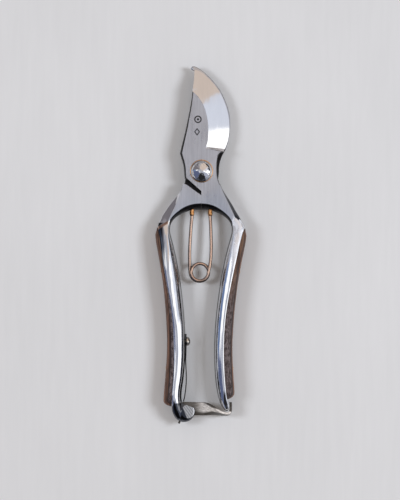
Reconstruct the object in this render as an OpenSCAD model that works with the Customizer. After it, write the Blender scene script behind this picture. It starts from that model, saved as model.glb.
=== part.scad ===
// Bypass floral snips: two forged halves lapped at a bolt, a hairpin spring, wood grips and a swinging catch.
// Millimetres. The snips lie closed on a table: +Y points to the tips, +Z is up. Outlines are drawn from
// the pivot axis, then moved so that the origin is below the middle of the whole part.

/* [Forged halves] */
// Thickness of each half where the two cross
lap_t = 5; // [4:0.5:5.5]
// Height of the grips
grip_t = 15; // [14:0.5:17]
// Running gap between the crossed halves
lap_gap = 0.06; // [0.04:0.01:0.12]
// Height left at the cutting edge
edge_t = 0.4; // [0.2:0.1:0.8]

/* [Pivot] */
// Diameter of the pivot bolt
bolt_d = 8; // [6:0.5:8]
// Diameter of its domed head
dome_d = 12.2; // [11:0.1:13]
// Height of the dome
dome_h = 3.6; // [3:0.1:4.5]
// Thickness of the bronze washer under the dome
washer_t = 0.8; // [0.5:0.1:1.2]
// Nut size across its flats
nut_af = 12; // [11:0.5:12]

/* [Hairpin spring] */
// Wire diameter
wire_d = 1.8; // [1.6:0.1:1.9]
// Radius of the coil at the middle of the wire
coil_r = 4.8; // [4.5:0.1:5.2]

/* [Catch] */
// Strap thickness
strap_t = 1.4; // [1:0.1:1.6]
// Strap width
strap_w = 7.4; // [6.5:0.1:7.5]
// Width of the leaf spring
leaf_w = 5; // [4:0.5:6]

/* [Hidden] */
$fn = 64;

steel = "silver";
polished = "gainsboro";
bronze = "peru";
wood = "saddlebrown";

mid_z = grip_t / 2;          // the plane between the two laps
top_z = mid_z + lap_t;       // flat upper face of the head
low_z = mid_z - lap_t;       // flat lower face of the head
fit = 0.07;                  // radial clearance of turning pieces
part_gap = 0.03;             // half of the gap between the closed halves

// ---------- curves ----------

// A point t along the smooth curve through rows; rows are vectors of any equal length.
function clamp_row(rows, i) = rows[min(max(i, 0), len(rows) - 1)];
function curve_at(rows, t) =
    let (i = min(floor(t), len(rows) - 2), f = t - i,
        p0 = clamp_row(rows, i - 1), p1 = rows[i], p2 = rows[i + 1], p3 = clamp_row(rows, i + 2))
    0.5 * (2 * p1 + (p2 - p0) * f + (2 * p0 - 5 * p1 + 4 * p2 - p3) * f * f
        + (3 * p1 - p0 - 3 * p2 + p3) * f * f * f);
function curve(rows, steps) =
    [for (k = [0 : (len(rows) - 1) * steps]) curve_at(rows, k / steps)];
function unit(v) = v / norm(v);

// A closed solid from rings of equal length, with flat ends.
module rings_solid(rings) {
    n = len(rings[0]);
    m = len(rings);
    points = [for (r = rings) each r];
    sides = [for (j = [0 : m - 2]) for (i = [0 : n - 1])
        [j * n + i, j * n + (i + 1) % n, (j + 1) * n + (i + 1) % n, (j + 1) * n + i]];
    triangles = [for (q = sides) each [[q[0], q[1], q[2]], [q[0], q[2], q[3]]]];
    polyhedron(points, concat([[for (i = [n - 1 : -1 : 0]) i]], triangles,
        [[for (i = [0 : n - 1]) (m - 1) * n + i]]));
}

// ---------- handles ----------

// One row a station, with x measured outwards from the middle of the snips:
// inner x, y, outer x, y, cover x, y, inner round, outer round, half height, outer wall, inner and outer shape.
shoulder_blade = [
    [part_gap, -21.5, part_gap, -13.3, 1, -13.3, 3.7, 0.2, 5.0, 4.8, 1.2, 2],
    [4.2, -21.8, 4.2, -10.4, 5, -10.4, 3.6, 0.2, 5.0, 4.8, 1.2, 2],
    [8.0, -22.75, 8.2, -7.5, 9, -7.5, 3.2, 0.3, 5.0, 4.6, 1.2, 2],
    [10.8, -23.9, 10.3, -7.0, 11, -7.0, 2.8, 0.6, 5.0, 3.8, 1.2, 2],
    [13.0, -25.15, 12.1, -10.4, 13, -10.4, 2.5, 1.3, 5.0, 3.0, 1.2, 2],
    [14.7, -26.5, 14.5, -14.2, 15.5, -14.2, 2.3, 2.2, 5.0, 2.6, 1.2, 2],
    [16.0, -28.0, 17.1, -18.2, 18, -18.2, 2.1, 2.7, 5.0, 2.4, 1.2, 2],
    [16.9, -29.7, 19.6, -22.5, 21, -22.5, 1.8, 2.6, 5.0, 2.5, 1.1, 1.8],
    [17.35, -31.9, 22.3, -26.8, 24, -26.8, 1.5, 2.8, 5.3, 2.9, 1.0, 1.2],
    [17.2, -34.6, 24.5, -31.0, 25.4, -31.4, 1.3, 3.3, 6.0, 3.6, 1.0, 1.0]];
shoulder_hook = [
    [part_gap, -21.5, part_gap, -13.3, 1, -13.3, 3.7, 0.2, 5.0, 4.8, 1.2, 2],
    [4.2, -21.8, 4.2, -10.4, 5, -10.4, 3.6, 0.2, 5.0, 4.8, 1.2, 2],
    [8.0, -22.75, 8.2, -7.5, 9, -7.5, 3.3, 0.3, 5.0, 4.7, 1.2, 2],
    [10.8, -23.9, 10.1, -7.1, 11, -7.1, 3.1, 0.6, 5.0, 4.5, 1.2, 2],
    [13.0, -25.15, 11.7, -11.2, 12.5, -11.2, 2.9, 1.0, 5.0, 4.1, 1.2, 2],
    [14.7, -26.5, 14.5, -15.4, 15.3, -15.4, 2.6, 4.2, 5.0, 3.7, 1.2, 2],
    [16.0, -28.0, 17.3, -18.9, 18.3, -18.9, 2.3, 5.0, 5.0, 3.3, 1.2, 2],
    [16.9, -29.7, 20.1, -23.0, 21.3, -23.0, 2.0, 4.7, 5.0, 3.1, 1.1, 1.9],
    [17.35, -31.9, 22.5, -27.0, 24, -27.0, 1.7, 4.6, 5.3, 3.1, 1.0, 1.5],
    [17.2, -34.6, 24.1, -30.9, 25.3, -31.4, 1.5, 4.8, 6.0, 3.5, 1.0, 1.1]];
grip_blade = [
    [16.4, -37.8, 23.0, -35.8, 25.6, -36.2, 2.6, 3.4, 6.6, 5.7, 1.0, 1.0],
    [15.2, -42.2, 21.5, -42.0, 24.8, -42.0, 3.7, 2.5, 7.1, 6.4, 0.95, 0.95],
    [13.7, -48.6, 20.2, -48.7, 23.45, -48.9, 4.6, 1.7, 7.4, 6.9, 0.95, 0.9],
    [12.2, -56.0, 18.6, -56.2, 22.1, -56.4, 5.1, 1.2, 7.5, 7.1, 0.95, 0.9],
    [10.95, -63.5, 17.1, -63.7, 20.95, -63.9, 5.2, 0.9, 7.5, 7.2, 0.95, 0.9],
    [9.9, -71.5, 15.7, -71.6, 20.05, -71.7, 5.0, 0.75, 7.5, 7.2, 0.95, 0.9],
    [9.0, -79.5, 14.6, -79.6, 19.3, -79.7, 4.9, 0.65, 7.5, 7.2, 0.95, 0.9],
    [8.35, -88.0, 13.8, -88.0, 18.75, -88.0, 4.8, 0.6, 7.5, 7.2, 0.95, 0.9],
    [8.05, -97.0, 13.5, -97.0, 18.4, -97.0, 4.8, 0.6, 7.5, 7.2, 0.95, 0.9],
    [8.15, -106.0, 13.6, -106.0, 18.6, -106.0, 4.8, 0.6, 7.5, 7.2, 0.95, 0.9],
    [8.75, -115.5, 14.15, -115.5, 19.2, -115.5, 4.7, 0.6, 7.5, 7.2, 0.95, 0.9],
    [9.7, -122.5, 14.85, -122.4, 19.7, -122.2, 4.3, 0.7, 7.4, 7.1, 0.95, 0.9]];
// the metal of the hook half is wider, and its top rounds down to the wood
grip_hook = [
    [16.4, -37.8, 23.3, -35.8, 25.6, -36.2, 2.4, 4.4, 6.6, 5.2, 1.0, 1.0],
    [15.2, -42.2, 22.4, -42.0, 24.8, -42.0, 3.4, 3.5, 7.1, 5.9, 0.95, 1.0],
    [13.7, -48.6, 21.5, -48.7, 23.45, -48.9, 4.6, 2.9, 7.4, 6.4, 0.95, 1.0],
    [12.2, -56.0, 20.2, -56.2, 22.1, -56.4, 5.8, 2.0, 7.5, 6.8, 0.95, 1.0],
    [10.95, -63.5, 18.7, -63.7, 20.95, -63.9, 6.3, 1.3, 7.5, 7.0, 0.95, 1.0],
    [9.9, -71.5, 17.2, -71.6, 20.05, -71.7, 6.2, 1.0, 7.5, 7.0, 0.95, 1.0],
    [9.0, -79.5, 16.0, -79.6, 19.3, -79.7, 5.6, 1.3, 7.5, 6.9, 0.95, 1.0],
    [8.35, -88.0, 15.1, -88.0, 18.75, -88.0, 4.9, 1.8, 7.5, 6.7, 0.95, 1.0],
    [8.05, -97.0, 14.7, -97.0, 18.4, -97.0, 4.4, 2.2, 7.5, 6.6, 0.95, 1.0],
    [8.15, -106.0, 14.4, -106.0, 18.6, -106.0, 4.3, 1.9, 7.5, 6.7, 0.95, 1.0],
    [8.75, -115.5, 14.55, -115.5, 19.2, -115.5, 4.4, 1.3, 7.5, 6.9, 0.95, 1.0],
    [9.7, -122.5, 15.05, -122.4, 19.7, -122.2, 4.2, 1.1, 7.4, 6.9, 0.95, 1.0]];
end_blade = [
    [11.0, -128.0, 15.6, -127.4, 19.9, -127.0, 3.2, 0.8, 6.4, 5.8, 0.9, 0.9],
    [12.5, -131.6, 16.55, -130.3, 19.9, -130.0, 2.6, 0.8, 5.2, 4.4, 0.9, 0.9],
    [14.0, -133.7, 16.75, -132.7, 19.5, -132.5, 1.6, 0.7, 4.4, 3.6, 0.9, 0.9],
    [15.3, -134.55, 16.2, -134.3, 19, -134.5, 0.4, 0.3, 2.4, 2.1, 0.9, 0.9]];
end_hook = [
    [9.9, -127.8, 15.2, -127.8, 20.05, -127.6, 3.9, 0.9, 7.3, 6.7, 0.95, 0.9],
    [9.1, -132.2, 15.35, -132.2, 20.0, -132.0, 4.3, 1.6, 6.5, 5.2, 1.0, 0.95],
    [8.1, -135.4, 14.7, -135.8, 18, -135.8, 4.2, 2.1, 5.3, 3.6, 1.0, 1.0],
    [8.3, -138.2, 12.9, -138.9, 15, -138.9, 2.6, 1.5, 3.7, 2.2, 1.0, 1.0],
    [9.6, -140.1, 11.0, -140.5, 13, -140.5, 0.6, 0.5, 1.6, 1.2, 1.0, 1.0]];
blade_rows = concat(shoulder_blade, grip_blade, end_blade);
hook_rows = concat(shoulder_hook, grip_hook, end_hook);
ring_steps = 2;
inner_steps = 6;
outer_steps = 4;

// Half height in the head follows lap_t, and in the grips follows grip_t.
function half_height(h) = h <= 5 ? h * lap_t / 5 : min(lap_t + (h - 5) * (grip_t / 2 - lap_t) / 2.5, grip_t / 2);

// The section of one handle at a station: over the top from the inner edge, then back under it.
function handle_ring(r, side) =
    let (inner = [r[0], r[1]], outer = [r[2], r[3]], w = norm(outer - inner), along = (outer - inner) / w,
        h = half_height(r[8]), wall = r[9] / r[8] * h,
        upper = concat(
            [for (k = [0 : inner_steps]) let (q = 90 * k / inner_steps)
                [r[6] * (1 - pow(cos(q), r[10])), h * pow(sin(q), r[10])]],
            [for (k = [0 : outer_steps]) let (q = 90 * k / outer_steps)
                [w - r[7] + r[7] * pow(sin(q), r[11]), wall + (h - wall) * pow(cos(q), r[11])]]),
        lower = [for (k = [len(upper) - 1 : -1 : 1]) [upper[k][0], -upper[k][1]]],
        ring = [for (p = concat(upper, lower)) let (at = inner + along * p[0]) [side * at[0], at[1], mid_z + p[1]]])
    side > 0 ? ring : [for (k = [len(ring) - 1 : -1 : 0]) ring[k]];

module handle(rows, side) {
    rings_solid([for (r = curve(rows, ring_steps)) handle_ring(r, side)]);
}

// ---------- heads ----------

slot_top = [-9.4, -4.2];     // where the upper edge of the open slot meets the neck
slot_foot = -11.2;           // where that edge reaches the parting line
neck_inside = -15.5;         // how far the lap plates reach into the handles

spine_neck = [slot_top, [-9.6, -1.5], [-9.95, 1.9], [-10.7, 5.2], [-11.6, 7.9], [-12.2, 10]];
spine = [[-12.2, 10], [-11.35, 13.7], [-10.25, 18.3], [-9.1, 23.3], [-8.0, 28.9], [-7.0, 34],
    [-6.15, 39.2], [-5.55, 44.2]];
edge = [[13.0, 12.8], [14.3, 16.3], [15.05, 19.8], [15.4, 23.5], [15.35, 27.2], [14.85, 31.4], [13.7, 35.9],
    [12.0, 40.4], [9.8, 44.9], [7.1, 48.7], [4.2, 51.9], [1.3, 54.4], [-1.6, 56.2], [-4.45, 57.3]];
// where the grind meets the flat, then the spine where the grind runs out over it
grind = [[2.4, 13.7], [3.25, 16.8], [3.55, 19.8], [3.6, 23.2], [3.35, 26.9], [2.6, 31], [1.2, 35.8], [-1.2, 40.1],
    [-3.2, 42.6], [-5.5, 44.6], [-5.2, 47.2], [-4.85, 50.4], [-4.6, 53.7], [-4.5, 56.9]];
grind_on_flat = 8;           // rows of the grind line that lie on the flat
heel = [12.3, 11.1];
heel_inner = [2.3, 12.9];
neck_right = [heel, [9.9, 9.6], [8.95, 6.5], [8.7, 2.6], [8.9, -1.9], [9.5, -4.7], [10.3, -7.8], [10.5, -14]];
hook_outer = [[9.4, -4.2], [9.75, -1], [9.8, 2.1], [10.4, 5.5], [11.5, 8.9], [13.2, 12.2], [14.8, 16.9],
    [15.65, 21.8], [15.85, 26.5], [15.5, 31.8], [14.3, 36.5], [12.3, 41.4], [9.95, 45.8], [7.1, 49.7],
    [4.3, 52.7], [1.4, 55.4], [-1.4, 57.5], [-3.7, 58.8], [-5.4, 59.1], [-6.5, 58.2], [-5.9, 57.1]];
hook_inner = [[-5.9, 57.1], [-4.6, 56.4], [-2.4, 53.6], [0.8, 50.0], [4.0, 46.0], [6.6, 41.6], [8.6, 37.0],
    [9.8, 32.0], [10.2, 27.0], [9.5, 21.9], [7.4, 17.3], [4.2, 14.0], [0.4, 11.6], [-3.6, 9.6], [-6.6, 7.2],
    [-8.4, 4.0], [-9.0, 0], [-9.0, -4], [-9.4, -8], [-9.4, -13]];

// The grind falls away with the distance to the cutting edge.
fine_edge = curve(edge, 4);
function grind_height(p) = min(lap_t, edge_t + (lap_t - edge_t) / 11.2 * min([for (e = fine_edge) norm(p - e)]));
bevel_rows = [for (i = [0 : len(edge) - 1]) [edge[i][0], edge[i][1], grind[i][0], grind[i][1],
    i <= grind_on_flat ? lap_t : grind_height(grind[i])]];
function bevel_ring(r, outer_height) =
    let (low = mid_z + lap_gap / 2)
    [[r[0], r[1], low], [r[0], r[1], mid_z + outer_height], [r[2], r[3], mid_z + r[4]], [r[2], r[3], low]];

module blade_plate() {
    translate([0, 0, mid_z + lap_gap / 2])
        linear_extrude(lap_t - lap_gap / 2)
            polygon(concat([[part_gap, neck_inside], [part_gap, slot_foot]], curve(spine_neck, 3),
                [for (p = curve(spine, 2)) if (p[1] > 10.2) p], [grind[9]],
                [for (k = [grind_on_flat : -1 : 0]) grind[k]], [heel_inner], curve(neck_right, 3)));
}

// A short ramp at the heel, then the grind out to the tip.
module blade_bevel() {
    ramp = [heel[0], heel[1], heel_inner[0], heel_inner[1], lap_t];
    rings_solid(concat([bevel_ring(ramp, lap_t - 0.1)], [for (r = curve(bevel_rows, 1)) bevel_ring(r, edge_t)]));
}

thin_from = 12;              // where the hook begins to thin
thin_slope = 2.2;

module hook_plate() {
    difference() {
        translate([0, 0, low_z])
            linear_extrude(lap_t - lap_gap / 2)
                polygon(concat([[-part_gap, neck_inside], [-part_gap, slot_foot]], curve(hook_outer, 2),
                    [for (k = [1 : (len(hook_inner) - 1) * 2]) curve_at(hook_inner, k / 2)]));
        // the hook thins towards its tip
        translate([-20, thin_from, low_z])
            rotate([thin_slope, 0, 0])
                translate([0, 0, -5])
                    cube([45, 60, 5]);
    }
}

// ---------- pivot ----------

seat_r = 7.2;
seat_z = low_z + 1.5;
spring_washer_t = 1.2;

module pivot_bore() {
    translate([0, 0, -1])
        cylinder(h = grip_t + 2, r = bolt_d / 2 + fit);
}

module pivot_bolt() {
    dome_r = (pow(dome_d / 2, 2) + dome_h * dome_h) / (2 * dome_h);
    base_z = top_z + part_gap + washer_t;
    color(polished) {
        intersection() {
            translate([0, 0, base_z + dome_h - dome_r])
                sphere(r = dome_r, $fn = 96);
            translate([0, 0, base_z])
                cylinder(h = dome_h + 1, r = dome_d / 2);
        }
        translate([0, 0, 0.3])
            cylinder(h = base_z, r = bolt_d / 2);
    }
}

module dome_washer() {
    color(bronze)
        translate([0, 0, top_z + part_gap])
            difference() {
                cylinder(h = washer_t, r = dome_d / 2 + 0.35);
                translate([0, 0, -1])
                    cylinder(h = washer_t + 2, r = bolt_d / 2 + fit);
            }
}

module spring_washer() {
    color(steel)
        translate([0, 0, seat_z - spring_washer_t])
            difference() {
                cylinder(h = spring_washer_t, r = 6.4);
                translate([0, 0, -1])
                    cylinder(h = spring_washer_t + 2, r = bolt_d / 2 + 0.15);
                // the split in the ring
                rotate([0, 0, 200])
                    translate([0, -0.4, -1])
                        cube([10, 0.8, spring_washer_t + 2]);
            }
}

module pivot_nut() {
    color(steel)
        difference() {
            intersection() {
                cylinder(h = seat_z - spring_washer_t, r = nut_af / 2 / cos(30), $fn = 6);
                // turned corners on the outer face
                cylinder(h = 10, r1 = nut_af / 2 + 0.2, r2 = nut_af / 2 + 12);
            }
            translate([0, 0, -1])
                cylinder(h = grip_t, r = bolt_d / 2 + 0.03);
        }
}

// ---------- hairpin spring ----------

socket = [5.1, -21.3];       // where each leg's ball end swings in its half
socket_r = 1.5;
ball_r = 1.35;
sleeve_r = 1.3;
coil_at = [-0.35, -56.7];
coil_rise = 1.5;             // how far each end of the coil is from the middle plane
left_leg = [[-5.1, -20.9, 0], [-5.1, -25.2, 0], [-5.45, -29.5, -0.15], [-5.85, -36, -0.45], [-6.15, -42, -0.75],
    [-6.25, -48, -1.15], [-6.05, -53, -1.45]];
right_leg = [[5.1, -20.9, 0], [5.1, -25.2, 0], [5.45, -30, 0.15], [5.7, -36, 0.45], [5.9, -42, 0.75],
    [5.75, -48, 1.15], [5.2, -53, 1.45]];
coil_step = 20;
coil = [for (q = [0 : coil_step : 540]) let (s = q / 540, r = coil_r + 0.7 * pow(s, 4))
    [coil_at[0] + r * cos(-q), coil_at[1] + r * sin(-q), coil_rise * (1 - 2 * s)]];
wire_sides = 10;

module socket_hole(side) {
    translate([side * socket[0], socket[1] - 1.6, mid_z])
        rotate([-90, 0, 0]) {
            cylinder(h = 6.2, r = socket_r);
            cylinder(h = 2.4, r1 = 2.7, r2 = socket_r);
        }
}

module spring_end(side) {
    color(bronze)
        translate([side * socket[0], socket[1], mid_z])
            difference() {
                union() {
                    sphere(r = ball_r);
                    rotate([90, 0, 0])
                        cylinder(h = 2.9, r = sleeve_r);
                    translate([0, -2.9, 0])
                        rotate([90, 0, 0])
                            cylinder(h = 0.9, r1 = sleeve_r, r2 = wire_d / 2 + 0.1);
                }
                translate([0, 0.45, 0])
                    rotate([90, 0, 0])
                        cylinder(h = 6, r = wire_d / 2 + 0.02);
            }
}

module hairpin_spring() {
    leg_points = len(left_leg) * 2 - 1;
    right_path = curve(right_leg, 2);
    left_path = curve(left_leg, 2);
    path = concat(right_path, coil, [for (k = [leg_points - 1 : -1 : 0]) left_path[k]]);
    rings = [for (k = [0 : len(path) - 1])
        let (t = unit(clamp_row(path, k + 1) - clamp_row(path, k - 1)), n = unit(cross(t, [0, 0, 1])), b = cross(n, t))
        [for (j = [0 : wire_sides - 1]) let (q = 360 * j / wire_sides)
            path[k] + [0, 0, mid_z] + wire_d / 2 * (cos(q) * n - sin(q) * b)]];
    color(bronze)
        rings_solid(rings);
}

// ---------- grips ----------

cover_first = 9.2;           // station where the wood begins
cover_last_blade = 22.1;
cover_last_hook = 23.0;
end_round = 0.75;            // stations over which the lower end rounds off
pin_rows = [12.95, 19.5];    // stations of the upper and lower pins
pin_r = 1.3;

function cover_ring(r, side, full) =
    let (seat = [r[2], r[3]], rim = [r[4], r[5]], w = (norm(rim - seat) - 2 * part_gap) * full,
        along = unit(rim - seat), wall = r[9] / r[8] * half_height(r[8]) * (0.35 + 0.65 * sqrt(full)),
        upper = [for (k = [0 : 6]) let (q = 90 * k / 6)
            [part_gap * 2 + w * pow(sin(q), 0.85), wall * pow(cos(q), 0.85)]],
        lower = [for (k = [5 : -1 : 0]) [upper[k][0], -upper[k][1]]],
        ring = [for (p = concat(upper, lower)) let (at = seat + along * p[0]) [side * at[0], at[1], mid_z + p[1]]])
    side > 0 ? ring : [for (k = [len(ring) - 1 : -1 : 0]) ring[k]];

module grip(rows, side, last) {
    stations = concat([cover_first], [for (t = [9.5 : 0.5 : last - end_round - 0.1]) t],
        [for (k = [0 : 6]) last - end_round * (1 - sin(15 * k))]);
    difference() {
        rings_solid([for (t = stations)
            let (s = max(0, (t - last + end_round) / end_round), start = min(1, 0.45 + (t - cover_first) * 0.8))
            cover_ring(curve_at(rows, t), side, min(start, sqrt(max(0.03, 1 - s * s))))]);
        grip_pin_holes(rows, side, 1);
    }
}

module grip_pin(rows, side, t, r, extra) {
    row = curve_at(rows, t);
    translate([side * (row[2] - 2), (row[3] + row[5]) / 2, mid_z])
        rotate([0, side * 90, 0])
            cylinder(h = row[4] - row[2] + 2.15 + extra, r = r);
}

module brass_pin(rows, side, k) {
    color(bronze)
        grip_pin(rows, side, pin_rows[k], pin_r, 0);
}

module grip_pin_holes(rows, side, extra) {
    for (t = pin_rows)
        grip_pin(rows, side, t, pin_r + 0.02, extra);
}

// ---------- catch ----------

hinge = [-8.5, -134.85];
lug_r = 6.2;
lug_t = 8;
crown_from = 1.5;            // height of the lug's straight side above the middle plane
crown_h = 3.4;
facet_z = 4.7;
facet_lean = 21;
hub_r = 5.05;
slot_clear = 0.12;
catch_pin_r = 1.5;
strap_from = 1;
tail_reach = 7.6;
tail_w = 1.1;
tail_lean = 22;
// centre line x, y, width, twist
strap_rows = [[strap_from, -133.45, 1, 0], [3.6, -133.6, 1, 14], [6.4, -134.1, 0.99, 38], [9.2, -134.95, 0.97, 60],
    [12.0, -135.85, 0.94, 74], [14.5, -136.3, 0.92, 78], [16.6, -136.1, 0.88, 82], [17.6, -134.9, 0.84, 86],
    [17.8, -132.8, 0.8, 89], [17.75, -131.2, 0.74, 90], [17.7, -129.7, 0.64, 90]];
leaf_path = [[-7.82, -91.5], [-7.74, -95.7], [-7.71, -101], [-7.8, -107], [-7.4, -114.5], [-7.5, -120.5],
    [-8.1, -126], [-8.8, -129.4]];
leaf_t = 0.6;
screw_y = -95.7;
screw_r = 1.2;

function strap_ring(rows, k) =
    let (r = rows[k], ahead = clamp_row(rows, k + 1), back = clamp_row(rows, k - 1),
        t = unit([ahead[0] - back[0], ahead[1] - back[1]]), side = [-t[1], t[0], 0],
        across = cos(r[3]) * side + sin(r[3]) * [0, 0, 1], through = -sin(r[3]) * side + cos(r[3]) * [0, 0, 1],
        w = strap_w * r[2] / 2, d = strap_t / 2, at = [r[0], r[1], mid_z])
    [at - w * across + d * through, at + w * across + d * through,
        at + w * across - d * through, at - w * across - d * through];

module catch_strap() {
    rows = curve(strap_rows, 3);
    color(steel)
        difference() {
            union() {
                translate([hinge[0], hinge[1], mid_z - strap_t / 2]) {
                    cylinder(h = strap_t, r = hub_r);
                    rotate([0, 0, -tail_lean])
                        translate([-tail_w / 2, -tail_reach, 0])
                            cube([tail_w, tail_reach, strap_t]);
                }
                translate([hinge[0], -133.45 - strap_w / 2, mid_z - strap_t / 2])
                    cube([strap_from - hinge[0] + 0.01, strap_w, strap_t]);
                rings_solid([for (k = [0 : len(rows) - 1]) strap_ring(rows, k)]);
            }
            translate([hinge[0], hinge[1], 0])
                cylinder(h = grip_t, r = catch_pin_r + 0.05);
        }
}

module catch_pin() {
    color(steel)
        translate([hinge[0], hinge[1], mid_z - lug_t / 2])
            difference() {
                cylinder(h = lug_t - 1, r = catch_pin_r);
                translate([-3, -0.25, -1])
                    cube([6, 0.5, 1.6]);
            }
}

// The domed end of the longer handle: a facet is ground on its crown, and it is cut back where the
// leaf spring and the strap pass.
module catch_lug() {
    ball = (lug_r * lug_r + crown_h * crown_h) / (2 * crown_h);
    translate([hinge[0], hinge[1], mid_z])
        difference() {
            intersection() {
                translate([0, 0, -lug_t / 2])
                    cylinder(h = lug_t + crown_h, r = lug_r);
                translate([0, 0, crown_from + crown_h - ball])
                    sphere(r = ball);
            }
            translate([-1.15, -8, facet_z])
                rotate([0, facet_lean, 0])
                    cube([16, 16, 8]);
            rotate([0, 0, -22])
                translate([-4, 3.9, -lug_t / 2 - 1])
                    cube([15, 8, lug_t + 5]);
        }
}

module catch_leaf_spring() {
    line = curve(leaf_path, 3);
    normals = [for (k = [0 : len(line) - 1])
        let (t = unit(clamp_row(line, k + 1) - clamp_row(line, k - 1))) [-t[1], t[0]]];
    color(steel)
        difference() {
            translate([0, 0, mid_z - leaf_w / 2])
                linear_extrude(leaf_w)
                    polygon(concat([for (k = [0 : len(line) - 1]) line[k] + normals[k] * leaf_t / 2],
                        [for (k = [len(line) - 1 : -1 : 0]) line[k] - normals[k] * leaf_t / 2]));
            translate([-12, screw_y, mid_z])
                rotate([0, 90, 0])
                    cylinder(h = 8, r = screw_r + 0.1);
        }
}

module leaf_screw() {
    head_x = leaf_path[1][0] + leaf_t / 2;
    color(polished)
        translate([head_x, screw_y, mid_z])
            rotate([0, 90, 0]) {
                translate([0, 0, -4.5])
                    cylinder(h = 4.6, r = screw_r);
                intersection() {
                    cylinder(h = 2.1, r = 2.5);
                    translate([0, 0, -0.6])
                        sphere(r = 2.7);
                }
            }
}

// ---------- forged halves ----------

module hook_half() {
    color(steel)
        difference() {
            union() {
                handle(hook_rows, -1);
                hook_plate();
                catch_lug();
            }
            pivot_bore();
            // seat of the nut and its spring washer
            translate([0, 0, -1])
                cylinder(h = seat_z + 1, r = seat_r);
            socket_hole(-1);
            // slot that the catch swings in, and its blind pin hole
            translate([-26, -145, mid_z - strap_t / 2 - slot_clear])
                cube([25, 15.4, strap_t + 2 * slot_clear]);
            translate([hinge[0], hinge[1], -1])
                cylinder(h = mid_z + lug_t / 2, r = catch_pin_r + 0.01);
            translate([-14, screw_y, mid_z])
                rotate([0, 90, 0])
                    cylinder(h = 8, r = screw_r + 0.02);
            grip_pin_holes(hook_rows, -1, 0);
        }
}

module blade_half() {
    color(steel)
        difference() {
            union() {
                handle(blade_rows, 1);
                blade_plate();
                blade_bevel();
            }
            pivot_bore();
            socket_hole(1);
            grip_pin_holes(blade_rows, 1, 0);
        }
}

// ---------- placing ----------

hook_tip_y = max([for (p = curve(hook_outer, 2)) p[1]]);
tail_y = hinge[1] - tail_reach * cos(tail_lean) - tail_w / 2 * sin(tail_lean);
pivot_y = -(hook_tip_y + tail_y) / 2;

module placed() {
    translate([0, pivot_y, 0])
        children();
}

placed() hook_half();
placed() blade_half();
placed() pivot_bolt();
placed() dome_washer();
placed() spring_washer();
placed() pivot_nut();
placed() hairpin_spring();
placed() spring_end(-1);  // spring_end_left
placed() spring_end(1);  // spring_end_right
placed() color(wood) grip(hook_rows, -1, cover_last_hook);  // grip_left
placed() color(wood) grip(blade_rows, 1, cover_last_blade);  // grip_right
placed() brass_pin(hook_rows, -1, 0);  // pin_left_upper
placed() brass_pin(hook_rows, -1, 1);  // pin_left_lower
placed() brass_pin(blade_rows, 1, 0);  // pin_right_upper
placed() brass_pin(blade_rows, 1, 1);  // pin_right_lower
placed() catch_strap();
placed() catch_pin();
placed() catch_leaf_spring();
placed() leaf_screw();
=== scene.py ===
"""Bypass floral snips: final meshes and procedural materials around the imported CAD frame.

The tables below are the design's own stations, in millimetres about the pivot axis.
"""
import math
import bmesh
import bpy
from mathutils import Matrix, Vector


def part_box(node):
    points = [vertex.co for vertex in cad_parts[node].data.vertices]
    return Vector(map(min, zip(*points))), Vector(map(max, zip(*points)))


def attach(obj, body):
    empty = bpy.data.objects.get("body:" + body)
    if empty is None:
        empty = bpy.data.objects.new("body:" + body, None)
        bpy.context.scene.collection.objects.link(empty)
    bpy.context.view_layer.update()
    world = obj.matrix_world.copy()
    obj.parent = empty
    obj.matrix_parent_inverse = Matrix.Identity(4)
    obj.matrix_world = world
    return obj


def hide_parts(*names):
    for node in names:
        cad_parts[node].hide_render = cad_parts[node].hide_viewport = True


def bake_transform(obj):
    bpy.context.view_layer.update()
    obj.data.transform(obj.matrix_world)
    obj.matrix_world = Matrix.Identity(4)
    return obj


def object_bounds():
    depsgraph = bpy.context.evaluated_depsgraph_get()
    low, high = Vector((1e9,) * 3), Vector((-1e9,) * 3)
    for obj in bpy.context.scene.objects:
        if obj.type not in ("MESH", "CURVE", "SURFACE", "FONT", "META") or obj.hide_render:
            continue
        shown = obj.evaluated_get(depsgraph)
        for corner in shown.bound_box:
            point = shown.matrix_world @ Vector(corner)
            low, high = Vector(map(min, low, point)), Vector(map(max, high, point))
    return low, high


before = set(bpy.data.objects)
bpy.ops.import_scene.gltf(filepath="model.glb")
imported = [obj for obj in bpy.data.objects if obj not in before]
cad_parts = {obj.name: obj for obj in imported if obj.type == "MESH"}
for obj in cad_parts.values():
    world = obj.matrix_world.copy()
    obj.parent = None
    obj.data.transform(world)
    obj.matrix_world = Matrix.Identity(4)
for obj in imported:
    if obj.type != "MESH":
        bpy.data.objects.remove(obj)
cad_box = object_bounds()

MM = 0.001
bolt_low, bolt_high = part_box("pivot_bolt")
PIVOT = ((bolt_low.x + bolt_high.x) / 2, (bolt_low.y + bolt_high.y) / 2)
HINGE = [-8.5, -134.85]      # the catch's pin
ORIGIN = (0, 0, 0)
UP = (0, 0, 1)

MID_Z = 7.5                  # where the two laps meet
LAP_T = 5.0
TOP_Z = MID_Z + LAP_T
LOW_Z = MID_Z - LAP_T
GAP = 0.03
LAP_TOP = MID_Z - GAP        # upper face of the lower lap
LAP_BOTTOM = MID_Z + GAP     # lower face of the upper lap
EDGE_T = 0.4
GRIND_WIDTH = 11.2           # from the cutting edge to where the grind reaches the flat
BORE_R = 4.07


# ---------- curves and meshes ----------

def curve_at(rows, t):
    """A point t along the smooth curve through rows."""
    i = min(int(t), len(rows) - 2)
    f = t - i
    p0, p1, p2, p3 = rows[max(i - 1, 0)], rows[i], rows[i + 1], rows[min(i + 2, len(rows) - 1)]
    return [0.5 * (2 * b + (c - a) * f + (2 * a - 5 * b + 4 * c - d) * f * f
                   + (3 * b - a - 3 * c + d) * f * f * f) for a, b, c, d in zip(p0, p1, p2, p3)]


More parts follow.
